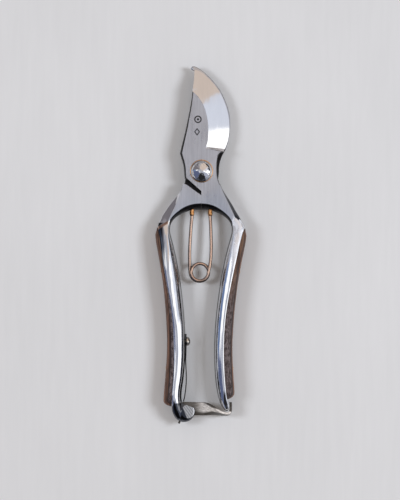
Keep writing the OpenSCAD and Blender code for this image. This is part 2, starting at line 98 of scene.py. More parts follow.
def curve(rows, steps):
    return [curve_at(rows, k / steps) for k in range((len(rows) - 1) * steps + 1)]


def unit(v):
    size = math.sqrt(sum(a * a for a in v))
    return [a / size for a in v]


def sine(q):
    return math.sin(math.radians(q))


def cosine(q):
    return math.cos(math.radians(q))


def show(name, data):
    obj = bpy.data.objects.new(name, data)
    bpy.context.scene.collection.objects.link(obj)
    return obj


def mesh(name, points, faces, materials):
    """An object from points in millimetres about the pivot axis."""
    data = bpy.data.meshes.new(name)
    data.from_pydata([(PIVOT[0] + p[0] * MM, PIVOT[1] + p[1] * MM, p[2] * MM) for p in points], [], faces)
    data.validate()
    for m in materials:
        data.materials.append(m)
    obj = show(name, data)
    outward(obj)
    return obj


def outward(obj):
    """Turns every face of a closed mesh outwards."""
    b = bmesh.new()
    b.from_mesh(obj.data)
    bmesh.ops.recalc_face_normals(b, faces=b.faces)
    if b.calc_volume(signed=True) < 0:
        bmesh.ops.reverse_faces(b, faces=b.faces)
    bmesh.ops.triangulate(b, faces=[f for f in b.faces if len(f.verts) > 4])
    b.to_mesh(obj.data)
    b.free()


def loft(name, rings, materials, closed=False):
    """A solid from rings of equal length, with flat ends, or joined end to end."""
    n, m = len(rings[0]), len(rings)
    faces = [[j * n + i, j * n + (i + 1) % n, (j + 1) % m * n + (i + 1) % n, (j + 1) % m * n + i]
             for j in range(m if closed else m - 1) for i in range(n)]
    if not closed:
        faces += [list(range(n))[::-1], [(m - 1) * n + i for i in range(n)]]
    return mesh(name, [p for r in rings for p in r], faces, materials)


def lathe(name, profile, origin, axis, materials, sides=72):
    """Turns a profile of (radius, distance along the axis) rows round an axis through origin."""
    a = Vector(axis).normalized()
    u = a.orthogonal().normalized()
    v = a.cross(u)
    rings = []
    for r, h in profile:
        rings.append([list(Vector(origin) + a * h + (u * math.cos(t) + v * math.sin(t)) * max(r, 0.002))
                      for t in (2 * math.pi * k / sides for k in range(sides))])
    hollow = profile[0][0] > 0.01 and profile[0] == profile[-1]
    return loft(name, rings[:-1] if hollow else rings, materials, closed=hollow)


def prism(name, outline, levels, materials):
    """A plate with rounded or ground edges.
    The levels are (height, inset) rows, and the outline's rows are x, y and their share of the inset."""
    n = len(outline)
    area = sum(a[0] * b[1] - b[0] * a[1] for a, b in zip(outline, outline[1:] + outline[:1]))
    turn = 1 if area > 0 else -1
    normals = []
    for i in range(n):
        a, b, c = outline[i - 1], outline[i], outline[(i + 1) % n]
        d1, d2 = unit([b[0] - a[0], b[1] - a[1]]), unit([c[0] - b[0], c[1] - b[1]])
        n1, n2 = [-d1[1] * turn, d1[0] * turn], [-d2[1] * turn, d2[0] * turn]
        s = [n1[0] + n2[0], n1[1] + n2[1]]
        k = 2 / max(s[0] ** 2 + s[1] ** 2, 0.8)
        normals.append([s[0] * k, s[1] * k])
    rings = [[[p[0] + q[0] * inset * p[2], p[1] + q[1] * inset * p[2], z] for p, q in zip(outline, normals)]
             for z, inset in levels]
    return loft(name, rings, materials)


def box(name, low, high, turn=0, at=(0, 0, 0), lean=0):
    """A cutting box, leant about y, turned about z, both in degrees, then moved."""
    c, s = cosine(turn), sine(turn)
    a, b = cosine(lean), sine(lean)
    pts = [(x, y, z) for x in (low[0], high[0]) for y in (low[1], high[1]) for z in (low[2], high[2])]
    pts = [(x * a + z * b, y, z * a - x * b) for x, y, z in pts]
    pts = [(x * c - y * s + at[0], x * s + y * c + at[1], z + at[2]) for x, y, z in pts]
    sides = [(0, 1, 3, 2), (4, 6, 7, 5), (0, 4, 5, 1), (2, 3, 7, 6), (0, 2, 6, 4), (1, 5, 7, 3)]
    return mesh(name, pts, sides, [])


def combine(obj, others, operation):
    """Adds or cuts other solids, which are used up."""
    for other in others:
        m = obj.modifiers.new("step", "BOOLEAN")
        m.solver = "MANIFOLD"
        m.operation = operation
        m.object = other
        evaluated = obj.evaluated_get(bpy.context.evaluated_depsgraph_get())
        data = bpy.data.meshes.new_from_object(evaluated)
        obj.modifiers.clear()
        old = obj.data
        obj.data = data
        bpy.data.meshes.remove(old)
        bpy.data.objects.remove(other)
    obj.data.name = obj.name


def smooth(obj, angle=32):
    obj.data.shade_smooth()
    obj.data.set_sharp_from_angle(angle=math.radians(angle))


def finish_piece(obj, body, node, angle=32):
    for v in obj.data.vertices:
        v.co = [min(max(c, low), high) for c, low, high in zip(v.co, *cad_box)]
    smooth(obj, angle)
    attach(obj, body)
    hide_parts(node)
    return obj


# ---------- node helpers ----------

class Nodes:
    """Short ways to write a node tree."""

    def __init__(self, tree):
        self.tree = tree

    def link(self, a, b):
        self.tree.links.new(a, b)

    def put(self, value, socket):
        if hasattr(value, "is_output"):
            self.link(value, socket)
        elif value is not None:
            socket.default_value = value

    def new(self, kind, **fields):
        node = self.tree.nodes.new(kind)
        for k, v in fields.items():
            setattr(node, k, v)
        return node

    def math(self, op, a, b=None):
        node = self.new("ShaderNodeMath", operation=op)
        for v, s in zip((a, b), node.inputs):
            self.put(v, s)
        return node.outputs[0]

    def times(self, a, b):
        return self.math("MULTIPLY", a, b)

    def plus(self, a, b):
        return self.math("ADD", a, b)

    def size(self, a):
        return self.math("ABSOLUTE", a)

    def step(self, value, low, high, to_low=0.0, to_high=1.0, kind="SMOOTHSTEP"):
        node = self.new("ShaderNodeMapRange", interpolation_type=kind)
        for v, s in zip((value, low, high, to_low, to_high), node.inputs):
            self.put(v, s)
        return node.outputs[0]

    def drop(self, value, low, high):
        return self.step(value, low, high, 1.0, 0.0)

    def mix(self, factor, a, b, mode="MIX"):
        node = self.new("ShaderNodeMix", data_type="RGBA", blend_type=mode)
        self.put(factor, node.inputs[0])
        for v, s in ((a, node.inputs[6]), (b, node.inputs[7])):
            self.put(tuple(v) + (1,) if isinstance(v, (tuple, list)) and len(v) == 3 else v, s)
        return node.outputs[2]

    def noise(self, vector, scale, detail=3, rough=0.5):
        """Noise with its own scale along each axis."""
        scaled = self.new("ShaderNodeMapping")
        self.link(vector, scaled.inputs["Vector"])
        scaled.inputs["Scale"].default_value = scale
        node = self.new("ShaderNodeTexNoise")
        self.link(scaled.outputs[0], node.inputs["Vector"])
        for name, value in (("Scale", 1.0), ("Detail", detail), ("Roughness", rough)):
            node.inputs[name].default_value = value
        return node.outputs[0]

    def bump(self, height, strength, distance, under=None):
        node = self.new("ShaderNodeBump")
        node.inputs["Strength"].default_value = strength
        node.inputs["Distance"].default_value = distance
        self.put(height, node.inputs["Height"])
        if under is not None:
            self.link(under, node.inputs["Normal"])
        return node.outputs[0]

    def over(self, socket, mask, colour):
        """Lays a colour over what already feeds a socket."""
        self.link(self.mix(mask, socket.links[0].from_socket, colour), socket)

    def place(self, x, y):
        """Millimetres right of and above a point given about the pivot axis."""
        at = self.split(self.new("ShaderNodeTexCoord").outputs["Object"])
        return [self.math("DIVIDE", self.math("SUBTRACT", v, PIVOT[k] + c * MM), MM)
                for k, (v, c) in enumerate(zip(at, (x, y)))]

    def distance(self, u, v):
        return self.math("SQRT", self.plus(self.times(u, u), self.times(v, v)))

    def split(self, vector):
        node = self.new("ShaderNodeSeparateXYZ")
        self.link(vector, node.inputs[0])
        return node.outputs[0], node.outputs[1], node.outputs[2]


def opened(m):
    """A material's nodes, its shader's inputs, and where a point is in the scene."""
    n = Nodes(m.node_tree)
    return n, m.node_tree.nodes["Principled BSDF"].inputs, n.new("ShaderNodeTexCoord").outputs["Object"]


def material(name):
    m = bpy.data.materials.new(name)
    m.use_nodes = True
    return m, *opened(m)


def steepness(n):
    """1 on level faces, 0 on upright ones."""
    return n.size(n.split(n.new("ShaderNodeNewGeometry").outputs["Normal"])[2])


def steel(name, colour, rough, streak, streak_scale, mottle, bump, rough_span, side=None, wave=None):
    """Bare metal, streaked by grinding and mottled by handling.
    side = (low, high, share): painted shade on steep walls, which darken between two steepness values to that
    share of their brightness and turn non-metal below the low one. wave = (scale, depth): the slow unevenness
    of hand polishing."""
    m, n, inputs, where = material(name)
    fine = n.noise(where, streak_scale, 4, 0.65)
    broad = n.noise(where, (260, 60, 260))
    shade = n.plus(n.step(fine, 0.3, 0.7, 1 - streak, 1 + streak, "LINEAR"),
                   n.step(broad, 0.3, 0.7, -mottle, mottle, "LINEAR"))
    if side:
        # painted shade: steep walls darken and lose their metal
        shade = n.times(shade, n.step(steepness(n), side[0], side[1], side[2], 1.0))
        n.link(n.step(steepness(n), side[0] - 0.15, side[0], 0.0, 1.0), inputs["Metallic"])
        inputs["Specular IOR Level"].default_value = 0.08
    grey = n.new("ShaderNodeCombineColor")
    for k in range(3):
        n.link(n.times(shade, colour[k]), grey.inputs[k])
    n.link(grey.outputs[0], inputs["Base Color"])
    inputs["Metallic"].default_value = 1
    n.link(n.step(broad, 0.3, 0.7, rough - rough_span, rough + rough_span, "LINEAR"), inputs["Roughness"])
    under = n.bump(n.noise(where, wave[0], 2), 1.0, wave[1]) if wave else None
    n.link(n.bump(fine, bump, 0.00004, under), inputs["Normal"])
    return m


STREAKS = (900, 90, 900)         # along the tool
EVEN = (900, 900, 900)
TURNED = (700, 700, 700)
BY_HAND = (420, 45, 420)


# Painted shade: the mirror steel darkens on its steep walls.
def mirror_steel(name):
    return steel(name, (0.74, 0.745, 0.77), 0.085, 0.03, STREAKS, 0.03, 0.03, 0.03,
                 (0.22, 0.42, 0.02), (BY_HAND, 0.00016))


def brushed_steel(name):
    return steel(name, (0.625, 0.64, 0.675), 0.3, 0.1, (1500, 45, 300), 0.08, 0.25, 0.04)


polished = mirror_steel("steel_mirror_polish")
# A copy of the mirror steel for the hook's handle, which carries painted reflections.
hook_steel = mirror_steel("steel_mirror_polish_hook")
# Painted dark reflection: the lug's bulb is near-black steel.
bulb_steel = steel("steel_lug_painted_dark_reflection", (0.13, 0.135, 0.15), 0.12, 0.1, STREAKS, 0.2, 0.03, 0.03,
                   None, (BY_HAND, 0.0003))
# Painted highlight: a paler base, with a satin roughness, on the ramp at the heel.
heel_steel = steel("steel_heel_satin_painted_highlight", (0.86, 0.86, 0.88), 0.5, 0.03, STREAKS, 0.03, 0.03, 0.03)
bevel_steel = steel("steel_ground_bevel", (0.74, 0.74, 0.75), 0.1, 0.02, (500, 60, 500), 0.02, 0.01, 0.02,
                    None, ((150, 60, 150), 0.0001))
flat_steel = brushed_steel("steel_brushed_flat")
marked_steel = brushed_steel("steel_marked_flat")
facet_steel = steel("steel_lug_facet", (0.27, 0.272, 0.285), 0.3, 0.12, (420, 2400, 420), 0.1, 0.3, 0.06)
# Painted shade: near-black on the steep outer face of the blade's shoulder.
shade_steel = steel("steel_shoulder_painted_shade", (0.075, 0.077, 0.085), 0.22, 0.1, STREAKS, 0.1, 0.1, 0.05)
# Painted shade: dark steel on the hook's upper outer edge beside the blade.
rim_steel = steel("steel_hook_rim_painted_shade", (0.26, 0.27, 0.3), 0.3, 0.1, STREAKS, 0.1, 0.1, 0.05)
# Painted shade: near-black on the arch's underside, the lap walls, the blade's side walls and the hook's face
# in the slot.
shade_black_steel = steel("steel_painted_shade_black", (0.03, 0.029, 0.03), 0.42, 0.3, (1200, 600, 1200), 0.2, 0.3, 0.08)
leaf_steel = steel("steel_leaf_spring", (0.022, 0.022, 0.024), 0.4, 0.06, (900, 200, 900), 0.05, 0.05, 0.04)
plain_steel = steel("steel_turned", (0.6, 0.6, 0.61), 0.22, 0.05, TURNED, 0.04, 0.08, 0.05)
# The screw, dome, ferrule and spring wire also get painted shade on their steep sides.
screw_steel = steel("steel_screw", (0.62, 0.57, 0.5), 0.16, 0.05, TURNED, 0.08, 0.05, 0.05,
                    (0.2, 0.75, 0.1))
dome_steel = steel("steel_dome_polish", (0.8, 0.79, 0.79), 0.085, 0.03, EVEN, 0.05, 0.03, 0.02,
                   (0.4, 0.75, 0.5), ((300, 300, 300), 0.0005))
washer_bronze = steel("bronze_washer", (0.74, 0.43, 0.21), 0.28, 0.08, EVEN, 0.08, 0.1, 0.06)
bead_brass = steel("brass_ferrule", (0.76, 0.38, 0.155), 0.34, 0.1, EVEN, 0.12, 0.1, 0.06, (0.1, 0.7, 0.35))
pin_brass = steel("brass_pin", (0.72, 0.52, 0.28), 0.28, 0.08, EVEN, 0.08, 0.1, 0.06)
wire_bronze = steel("bronze_spring_wire", (0.66, 0.47, 0.37), 0.24, 0.08, (900, 120, 900), 0.14, 0.05, 0.05,
                    (0.5, 0.97, 0.05))


def etch_mark(m):
    """A plain ring and dot with a small lozenge under it, etched dark into the flat of the blade."""
    n, inputs, _ = opened(m)
    reach = 1.75
    away = n.distance(*n.place(-2.3, 29.0))
    ring = n.drop(n.size(n.math("SUBTRACT", away, reach)), 0.24, 0.44)
    dot = n.drop(away, 0.5, 0.8)
    u, v = n.place(-2.7, 22.0)
    away = n.plus(n.times(n.size(u), 1.35), n.size(v))
    lozenge = n.drop(n.size(n.math("SUBTRACT", away, reach)), 0.32, 0.56)
    mask = n.math("MAXIMUM", n.math("MAXIMUM", ring, dot), lozenge)
    n.over(inputs["Base Color"], mask, (0.03, 0.029, 0.031))


def shoulder_painted_reflection(m):
    """Painted reflection: a dark band, with a straw-coloured one below it, on the shoulder of the hook's
    handle at the bend.
    """
    n, inputs, _ = opened(m)
    u, v = n.place(-23.4, -30.4)
    outer = n.drop(u, 4.4, 5.4)
    wedge = n.math("SUBTRACT", v, n.times(u, 0.62))
    dark = n.times(n.step(wedge, -0.5, -0.1), n.drop(v, 1.0, 1.6))
    straw = n.times(n.step(wedge, -2.6, -1.9), n.drop(wedge, -0.8, -0.3))
    n.over(inputs["Base Color"], n.times(straw, outer), (0.46, 0.3, 0.23))
    n.over(inputs["Base Color"], n.times(dark, outer), (0.03, 0.03, 0.032))


def flank_painted_reflection(m):
    """Painted dark reflection: the outer flank of the hook's handle turns blue-black near the bend, where it
    faces outwards.
    """
    n, inputs, _ = opened(m)
    v = n.place(0, 0)[1]
    facing_x = n.split(n.new("ShaderNodeNewGeometry").outputs["Normal"])[0]
    flank = n.times(n.step(facing_x, -0.24, -0.05, 0.97, 0.0), n.step(v, -60, -42, 0.0, 1.0))
    flank = n.times(flank, n.drop(v, -32, -29))
    n.over(inputs["Base Color"], flank, (0.026, 0.031, 0.048))


def bend_satin_and_highlight(m):
    """The bend of the blade handle gets a satin roughness and less metal, and a pale bluish colour as a
    painted highlight, so that it is bright all over.
    """
    n, inputs, where = opened(m)
    v = n.place(0, 0)[1]
    uneven = n.noise(where, (620, 90, 620))
    bend = n.times(n.step(v, -62, -40), n.drop(v, -27, -22))
    satin = n.times(n.step(steepness(n), 0.35, 0.6), n.step(uneven, 0.35, 0.65, 0.55, 1.0))
    satin = n.times(satin, bend)
    rough, metallic = inputs["Roughness"], inputs["Metallic"]
    n.link(n.math("MAXIMUM", n.times(satin, 0.42), rough.links[0].from_socket), rough)
    n.link(n.math("SUBTRACT", metallic.links[0].from_socket, n.times(satin, 0.6)), metallic)
    # Painted highlight: the pale bluish colour over the bend.
    n.over(inputs["Base Color"], n.times(satin, 0.9), (0.9, 0.93, 1.0))


def facet_marks_and_painted_light(m):
    """The facet on the lug has slanting file marks, a painted dark reflection at its root beside the handle
    and a painted highlight along its rim.
    """
    n, inputs, _ = opened(m)
    u, v = n.place(*HINGE)
    across = n.plus(n.times(u, 0.81), n.times(v, 0.58))
    marks = n.step(n.math("SINE", n.times(across, 5.2)), -0.1, 0.9, 0.0, 0.6)
    rim = n.times(n.step(n.distance(u, v), 5.2, 5.7), n.step(across, 0.3, 1.5))
    root = n.drop(n.plus(u, n.times(v, 0.41)), 0.0, 0.6)
    # root is a painted dark reflection and rim a painted highlight; marks are file marks
    for mask, colour in ((marks, (0.07, 0.07, 0.08)), (rim, (0.62, 0.63, 0.67)), (root, (0.02, 0.022, 0.03))):
        n.over(inputs["Base Color"], mask, colour)


etch_mark(marked_steel)
flank_painted_reflection(hook_steel)
shoulder_painted_reflection(hook_steel)
bend_satin_and_highlight(polished)
facet_marks_and_painted_light(facet_steel)


def strap_finish():
    """Spring steel with painted light: painted shade beside the lug, towards its edges and on its steep
    faces, and a painted highlight along its middle past the twist.
    """
    m, n, inputs, where = material("steel_strap_painted_light")
    along, aside = n.place(0, -132.3)
    twist = n.size(n.plus(aside, n.times(along, 0.2)))
    twist = n.math("DIVIDE", twist, n.step(along, 1.0, 8.5, 3.4, 1.25))
    # painted light: dark beside the lug and towards the edges, bright along the middle
    painted_lit_share = n.times(n.step(along, -4.0, 6.5, 0.08, 1.0), n.step(twist, 0.6, 1.1, 1.0, 0.05))
    brush = n.noise(where, (500, 1600, 500), 5, 0.65)
    shade = n.times(painted_lit_share, n.step(brush, 0.35, 0.65, 0.5, 1.25, "LINEAR"))
    # painted shade on steep faces
    shade = n.times(shade, n.step(steepness(n), 0.1, 0.85, 0.22, 1.0))
    n.link(n.mix(shade, (0.042, 0.034, 0.026), (1.0, 0.95, 0.9)), inputs["Base Color"])
    inputs["Metallic"].default_value = 0.25
    n.link(n.step(brush, 0.3, 0.7, 0.34, 0.5, "LINEAR"), inputs["Roughness"])
    n.link(n.bump(brush, 0.3, 0.00006), inputs["Normal"])
    return m


strap_steel = strap_finish()


def wood(name, seed, low, high):
    """Oiled hardwood with long pores and darker growth lines. Its top is painted with a grey sheen towards
    its lower end, and its side keeps the warm colour. A painted dark reflection line parts the two at
    steepness values from low to high."""
    m, n, inputs, where = material(name)
    shift = n.new("ShaderNodeVectorMath", operation="ADD")
    n.link(where, shift.inputs[0])
    shift.inputs[1].default_value = (seed, seed, seed)
    at = shift.outputs[0]
    grain = n.noise(at, (1700, 90, 1700), 5, 0.65)
    lines = n.noise(at, (500, 26, 500), 4, 0.6)
    patches = n.noise(at, (1100, 380, 1100), 5, 0.8)
    level = steepness(n)
    # Painted sheen: the top greys towards the lower end.
    sheen_lower_share = n.step(n.split(where)[1], PIVOT[1] - 45 * MM, PIVOT[1] - 85 * MM)
    side = n.mix(n.step(lines, 0.4, 0.6), (0.25, 0.12, 0.074), (0.075, 0.037, 0.026))
    grey = n.mix(n.step(patches, 0.4, 0.62), (0.034, 0.023, 0.022), (0.205, 0.165, 0.168))
    warm = n.mix(n.step(lines, 0.38, 0.62), (0.19, 0.108, 0.07), (0.06, 0.034, 0.026))
    top = n.mix(sheen_lower_share, warm, grey)
    # Painted dark reflection: the line between the top and the side.
    dark = n.mix(n.step(lines, 0.3, 0.7), (0.052, 0.036, 0.032), (0.022, 0.015, 0.014))
    colour = n.mix(n.step(level, low - 0.14, low), side, dark)
    colour = n.mix(n.step(level, low + 0.03, high), colour, top)
    colour = n.mix(n.step(grain, 0.5, 0.68, 0.0, 0.7), colour, (0.018, 0.011, 0.009))
    n.link(colour, inputs["Base Color"])
    n.link(n.step(grain, 0.35, 0.7, 0.42, 0.62, "LINEAR"), inputs["Roughness"])
    inputs["Specular IOR Level"].default_value = 0.3
    n.link(n.bump(grain, 0.5, 0.00012), inputs["Normal"])
    return m


wood_left = wood("wood_oiled_left", 0.31, 0.84, 0.95)
wood_right = wood("wood_oiled_right", 0.77, 0.46, 0.66)


# ---------- handles ----------

# Each row is a section of a handle: inner x, y, outer x, y, the cover's outer x, y, inner and outer round,
# half height, half height of the outer wall, inner and outer exponents (1 is elliptic).
HANDLE_ROOT = [
    [GAP, -21.5, GAP, -13.3, 1, -13.3, 3.7, 0.2, 5, 4.8, 1.2, 2],
    [4.2, -21.8, 4.2, -10.4, 5, -10.4, 3.6, 0.2, 5, 4.8, 1.2, 2]]
SHOULDER_BLADE = [
    [8, -22.75, 8.2, -7.5, 9, -7.5, 3.2, 0.3, 5, 4.6, 1.2, 2],
    [10.8, -23.9, 10.3, -7, 11, -7, 2.8, 0.6, 5, 3.8, 1.2, 2],
    [13, -25.15, 12.1, -10.4, 13, -10.4, 2.5, 1.3, 5, 3, 1.2, 2],
    [14.7, -26.5, 14.5, -14.2, 15.5, -14.2, 2.3, 2.2, 5, 2.6, 1.2, 2],
    [16, -28, 17.1, -18.2, 18, -18.2, 2.1, 2.7, 5, 2.4, 1.2, 2],
    [16.9, -29.7, 19.6, -22.5, 21, -22.5, 1.8, 2.6, 5, 2.5, 1.1, 1.8],
    [17.35, -31.9, 22.3, -26.8, 24, -26.8, 1.5, 2.8, 5.3, 2.9, 1, 1.2],
    [17.2, -34.6, 24.5, -31, 25.4, -31.4, 1.3, 3.3, 6, 3.6, 1, 1]]
SHOULDER_HOOK = [
    [8, -22.75, 8.2, -7.5, 9, -7.5, 3.3, 0.3, 5, 4.7, 1.2, 2],
    [10.8, -23.9, 10.1, -7.1, 11, -7.1, 3.1, 0.6, 5, 4.5, 1.2, 2],
    [13, -25.15, 11.7, -11.2, 12.5, -11.2, 2.9, 1, 5, 4.1, 1.2, 2],
    [14.7, -26.5, 14.5, -15.4, 15.3, -15.4, 2.6, 4.2, 5, 3.7, 1.2, 2],
    [16, -28, 17.3, -18.9, 18.3, -18.9, 2.3, 5, 5, 3.3, 1.2, 2],
    [16.9, -29.7, 20.1, -23, 21.3, -23, 2, 4.7, 5, 3.1, 1.1, 1.9],
    [17.35, -31.9, 22.5, -27, 24, -27, 1.7, 4.6, 5.3, 3.1, 1, 1.5],
    [17.2, -34.6, 24.1, -30.9, 25.3, -31.4, 1.5, 4.8, 6, 3.5, 1, 1.1]]
# Along the grips the two halves share inner x, y, outer y, cover x, y and half height.
GRIP_LINE = [
    [16.4, -37.8, -35.8, 25.6, -36.2, 6.6], [15.2, -42.2, -42, 24.8, -42, 7.1],
    [13.7, -48.6, -48.7, 23.45, -48.9, 7.4], [12.2, -56, -56.2, 22.1, -56.4, 7.5],
    [10.95, -63.5, -63.7, 20.95, -63.9, 7.5], [9.9, -71.5, -71.6, 20.05, -71.7, 7.5],
    [9, -79.5, -79.6, 19.3, -79.7, 7.5], [8.35, -88, -88, 18.75, -88, 7.5],
    [8.05, -97, -97, 18.4, -97, 7.5], [8.15, -106, -106, 18.6, -106, 7.5],
    [8.75, -115.5, -115.5, 19.2, -115.5, 7.5], [9.7, -122.5, -122.4, 19.7, -122.2, 7.4]]
# Their own are outer x, inner and outer round, half height of the outer wall, inner and outer exponents.
GRIP_BLADE = [
    [23, 2.6, 3.4, 5.7, 1, 1], [21.5, 3.7, 2.5, 6.4, 0.95, 0.95], [20.2, 4.6, 1.7, 6.9, 0.95, 0.9],
    [18.6, 5.1, 1.2, 7.1, 0.95, 0.9], [17.1, 5.2, 0.9, 7.2, 0.95, 0.9], [15.7, 5, 0.75, 7.2, 0.95, 0.9],
    [14.6, 4.9, 0.65, 7.2, 0.95, 0.9], [13.8, 4.8, 0.6, 7.2, 0.95, 0.9], [13.5, 4.8, 0.6, 7.2, 0.95, 0.9],
    [13.6, 4.8, 0.6, 7.2, 0.95, 0.9], [14.15, 4.7, 0.6, 7.2, 0.95, 0.9], [14.85, 4.3, 0.7, 7.1, 0.95, 0.9]]
GRIP_HOOK = [
    [23.3, 2.4, 4.4, 5.2, 1, 1], [22.4, 3.4, 3.5, 5.9, 0.95, 1], [21.5, 4.6, 2.9, 6.4, 0.95, 1],
    [20.2, 5.8, 2, 6.8, 0.95, 1], [18.7, 6.3, 1.3, 7, 0.95, 1], [17.2, 6.2, 1, 7, 0.95, 1],
    [16, 5.6, 1.3, 6.9, 0.95, 1], [15.1, 4.9, 1.8, 6.7, 0.95, 1], [14.7, 4.4, 2.2, 6.6, 0.95, 1],
    [14.4, 4.3, 1.9, 6.7, 0.95, 1], [14.55, 4.4, 1.3, 6.9, 0.95, 1], [15.05, 4.2, 1.1, 6.9, 0.95, 1]]
END_BLADE = [
    [11, -128, 15.6, -127.4, 19.9, -127, 3.2, 0.8, 6.4, 5.8, 0.9, 0.9],
    [12.5, -131.6, 16.55, -130.3, 19.9, -130, 2.6, 0.8, 5.2, 4.4, 0.9, 0.9],
    [14, -133.7, 16.75, -132.7, 19.5, -132.5, 1.6, 0.7, 4.4, 3.6, 0.9, 0.9],
    [15.3, -134.55, 16.2, -134.3, 19, -134.5, 0.4, 0.3, 2.4, 2.1, 0.9, 0.9]]
END_HOOK = [
    [9.9, -127.8, 15.2, -127.8, 20.05, -127.6, 3.9, 0.9, 7.3, 6.7, 0.95, 0.9],
    [9.1, -132.2, 15.35, -132.2, 20, -132, 4.3, 1.6, 6.5, 5.2, 1, 0.95],
    [8.1, -135.4, 14.7, -135.8, 18, -135.8, 4.2, 2.1, 5.3, 3.6, 1, 1],
    [8.3, -138.2, 12.9, -138.9, 15, -138.9, 2.6, 1.5, 3.7, 2.2, 1, 1],
    [9.6, -140.1, 11, -140.5, 13, -140.5, 0.6, 0.5, 1.6, 1.2, 1, 1]]


def grip_rows(own_shape):
    return [[x, y, outer_x, outer_y, cover_x, cover_y, inner_round, outer_round, height, *wall]
            for (x, y, outer_y, cover_x, cover_y, height), (outer_x, inner_round, outer_round, *wall)
            in zip(GRIP_LINE, own_shape)]


BLADE_ROWS = HANDLE_ROOT + SHOULDER_BLADE + grip_rows(GRIP_BLADE) + END_BLADE
HOOK_ROWS = HANDLE_ROOT + SHOULDER_HOOK + grip_rows(GRIP_HOOK) + END_HOOK
ROUND_STEPS = 14
WALL_STEPS = 10


def power(base, exponent):
    return max(base, 0.0) ** exponent


def handle_ring(row, side):
    """The section of one handle: over the top from the inner edge, then back under it."""
    inner, outer = row[0:2], row[2:4]
    inner_round, outer_round, half_height, wall, inner_power, outer_power = row[6:]
    w = math.dist(inner, outer)
    along = ((outer[0] - inner[0]) / w, (outer[1] - inner[1]) / w)
    upper = []
    for q in (90 * k / ROUND_STEPS for k in range(ROUND_STEPS + 1)):
        upper.append((inner_round * (1 - power(cosine(q), inner_power)),
                      half_height * power(sine(q), inner_power)))
    for q in (90 * k / WALL_STEPS for k in range(WALL_STEPS + 1)):
        upper.append((w - outer_round + outer_round * power(sine(q), outer_power),
                      wall + (half_height - wall) * power(cosine(q), outer_power)))
    lower = [(x, -z) for x, z in upper[:0:-1]]
    return [[side * (inner[0] + along[0] * x), inner[1] + along[1] * x, MID_Z + z] for x, z in upper + lower]


def handle(name, rows, side):
    return loft(name, [handle_ring(r, side) for r in curve(rows, 6)], [polished])


# ---------- heads ----------

# The blade's outline is its spine, then the cutting edge or, for the flat, the inner border of the grind.
SPINE_NECK = [[-9.4, -4.2], [-9.6, -1.5], [-9.95, 1.9], [-10.7, 5.2], [-11.6, 7.9], [-12.2, 10]]
SPINE = [[-12.2, 10], [-11.35, 13.7], [-10.25, 18.3], [-9.1, 23.3], [-8, 28.9], [-7, 34], [-6.15, 39.2],
         [-5.55, 44.2]]
EDGE = [[13, 12.8], [14.3, 16.3], [15.05, 19.8], [15.4, 23.5], [15.35, 27.2], [14.85, 31.4], [13.7, 35.9],
        [12, 40.4], [9.8, 44.9], [7.1, 48.7], [4.2, 51.9], [1.3, 54.4], [-1.6, 56.2], [-4.45, 57.3]]
GRIND = [[2.4, 13.7], [3.25, 16.8], [3.55, 19.8], [3.6, 23.2], [3.35, 26.9], [2.6, 31], [1.2, 35.8],
         [-1.2, 40.1], [-3.2, 42.6], [-5.5, 44.6], [-5.2, 47.2], [-4.85, 50.4], [-4.6, 53.7], [-4.5, 56.9]]
GRIND_ON_FLAT = 8            # the last point of GRIND that lies at the full height of the lap
HEEL = [12.3, 11.1]
HEEL_INNER = [2.3, 12.9]
NECK_RIGHT = [HEEL, [9.9, 9.6], [8.95, 6.5], [8.7, 2.6], [8.9, -1.9], [9.5, -4.7], [10.3, -7.8], [10.5, -14]]
HOOK_OUTER = [[9.4, -4.2], [9.75, -1], [9.8, 2.1], [10.4, 5.5], [11.5, 8.9], [13.2, 12.2], [14.8, 16.9],
              [15.65, 21.8], [15.85, 26.5], [15.5, 31.8], [14.3, 36.5], [12.3, 41.4], [9.95, 45.8],
              [7.1, 49.7], [4.3, 52.7], [1.4, 55.4], [-1.4, 57.5], [-3.7, 58.8], [-5.4, 59.1], [-6.5, 58.2],
              [-5.9, 57.1]]
HOOK_INNER = [[-5.9, 57.1], [-4.6, 56.4], [-2.4, 53.6], [0.8, 50], [4, 46], [6.6, 41.6], [8.6, 37],
              [9.8, 32], [10.2, 27], [9.5, 21.9], [7.4, 17.3], [4.2, 14], [0.4, 11.6], [-3.6, 9.6],
              [-6.6, 7.2], [-8.4, 4], [-9, 0], [-9, -4], [-9.4, -8], [-9.4, -13]]
NECK_INSIDE = -15.5
SLOT_FOOT = -11.2

fine_edge = curve(EDGE, 4)


def grind_height(p):
    return min(LAP_T, EDGE_T + (LAP_T - EDGE_T) / GRIND_WIDTH * min(math.dist(p, e) for e in fine_edge))


def kept(points, share):
    return [[p[0], p[1], share] for p in points]


def blade_plate():
    """The flat of the blade. Its spine and neck have a ground edge, and the side along the grind has none."""
    neck_y, spine_y = SPINE_NECK[0][1], SPINE[0][1]
    outline = kept([[GAP, NECK_INSIDE], [GAP, SLOT_FOOT]], 0)
    outline += [[p[0], p[1], 1 + 0.35 * (p[1] - neck_y) / (spine_y - neck_y)]
                for p in curve(SPINE_NECK, 6)[:-1]]
    outline += [[p[0], p[1], max(0.6, 1.35 - 0.022 * (p[1] - spine_y))] for p in curve(SPINE, 6)]
    outline += kept([GRIND[GRIND_ON_FLAT + 1]], 0)
    outline += kept([GRIND[k] for k in range(GRIND_ON_FLAT, -1, -1)] + [HEEL_INNER], 0)
    outline += kept(curve(NECK_RIGHT, 5), 0.55)
    outline[-1][2] = 0
    levels = [(LAP_BOTTOM, 0), (TOP_Z - 2.2, 0), (TOP_Z - 1.2, 0.3), (TOP_Z - 0.16, 0.78), (TOP_Z, 0.9)]
    return prism("plate", outline, levels, [flat_steel])


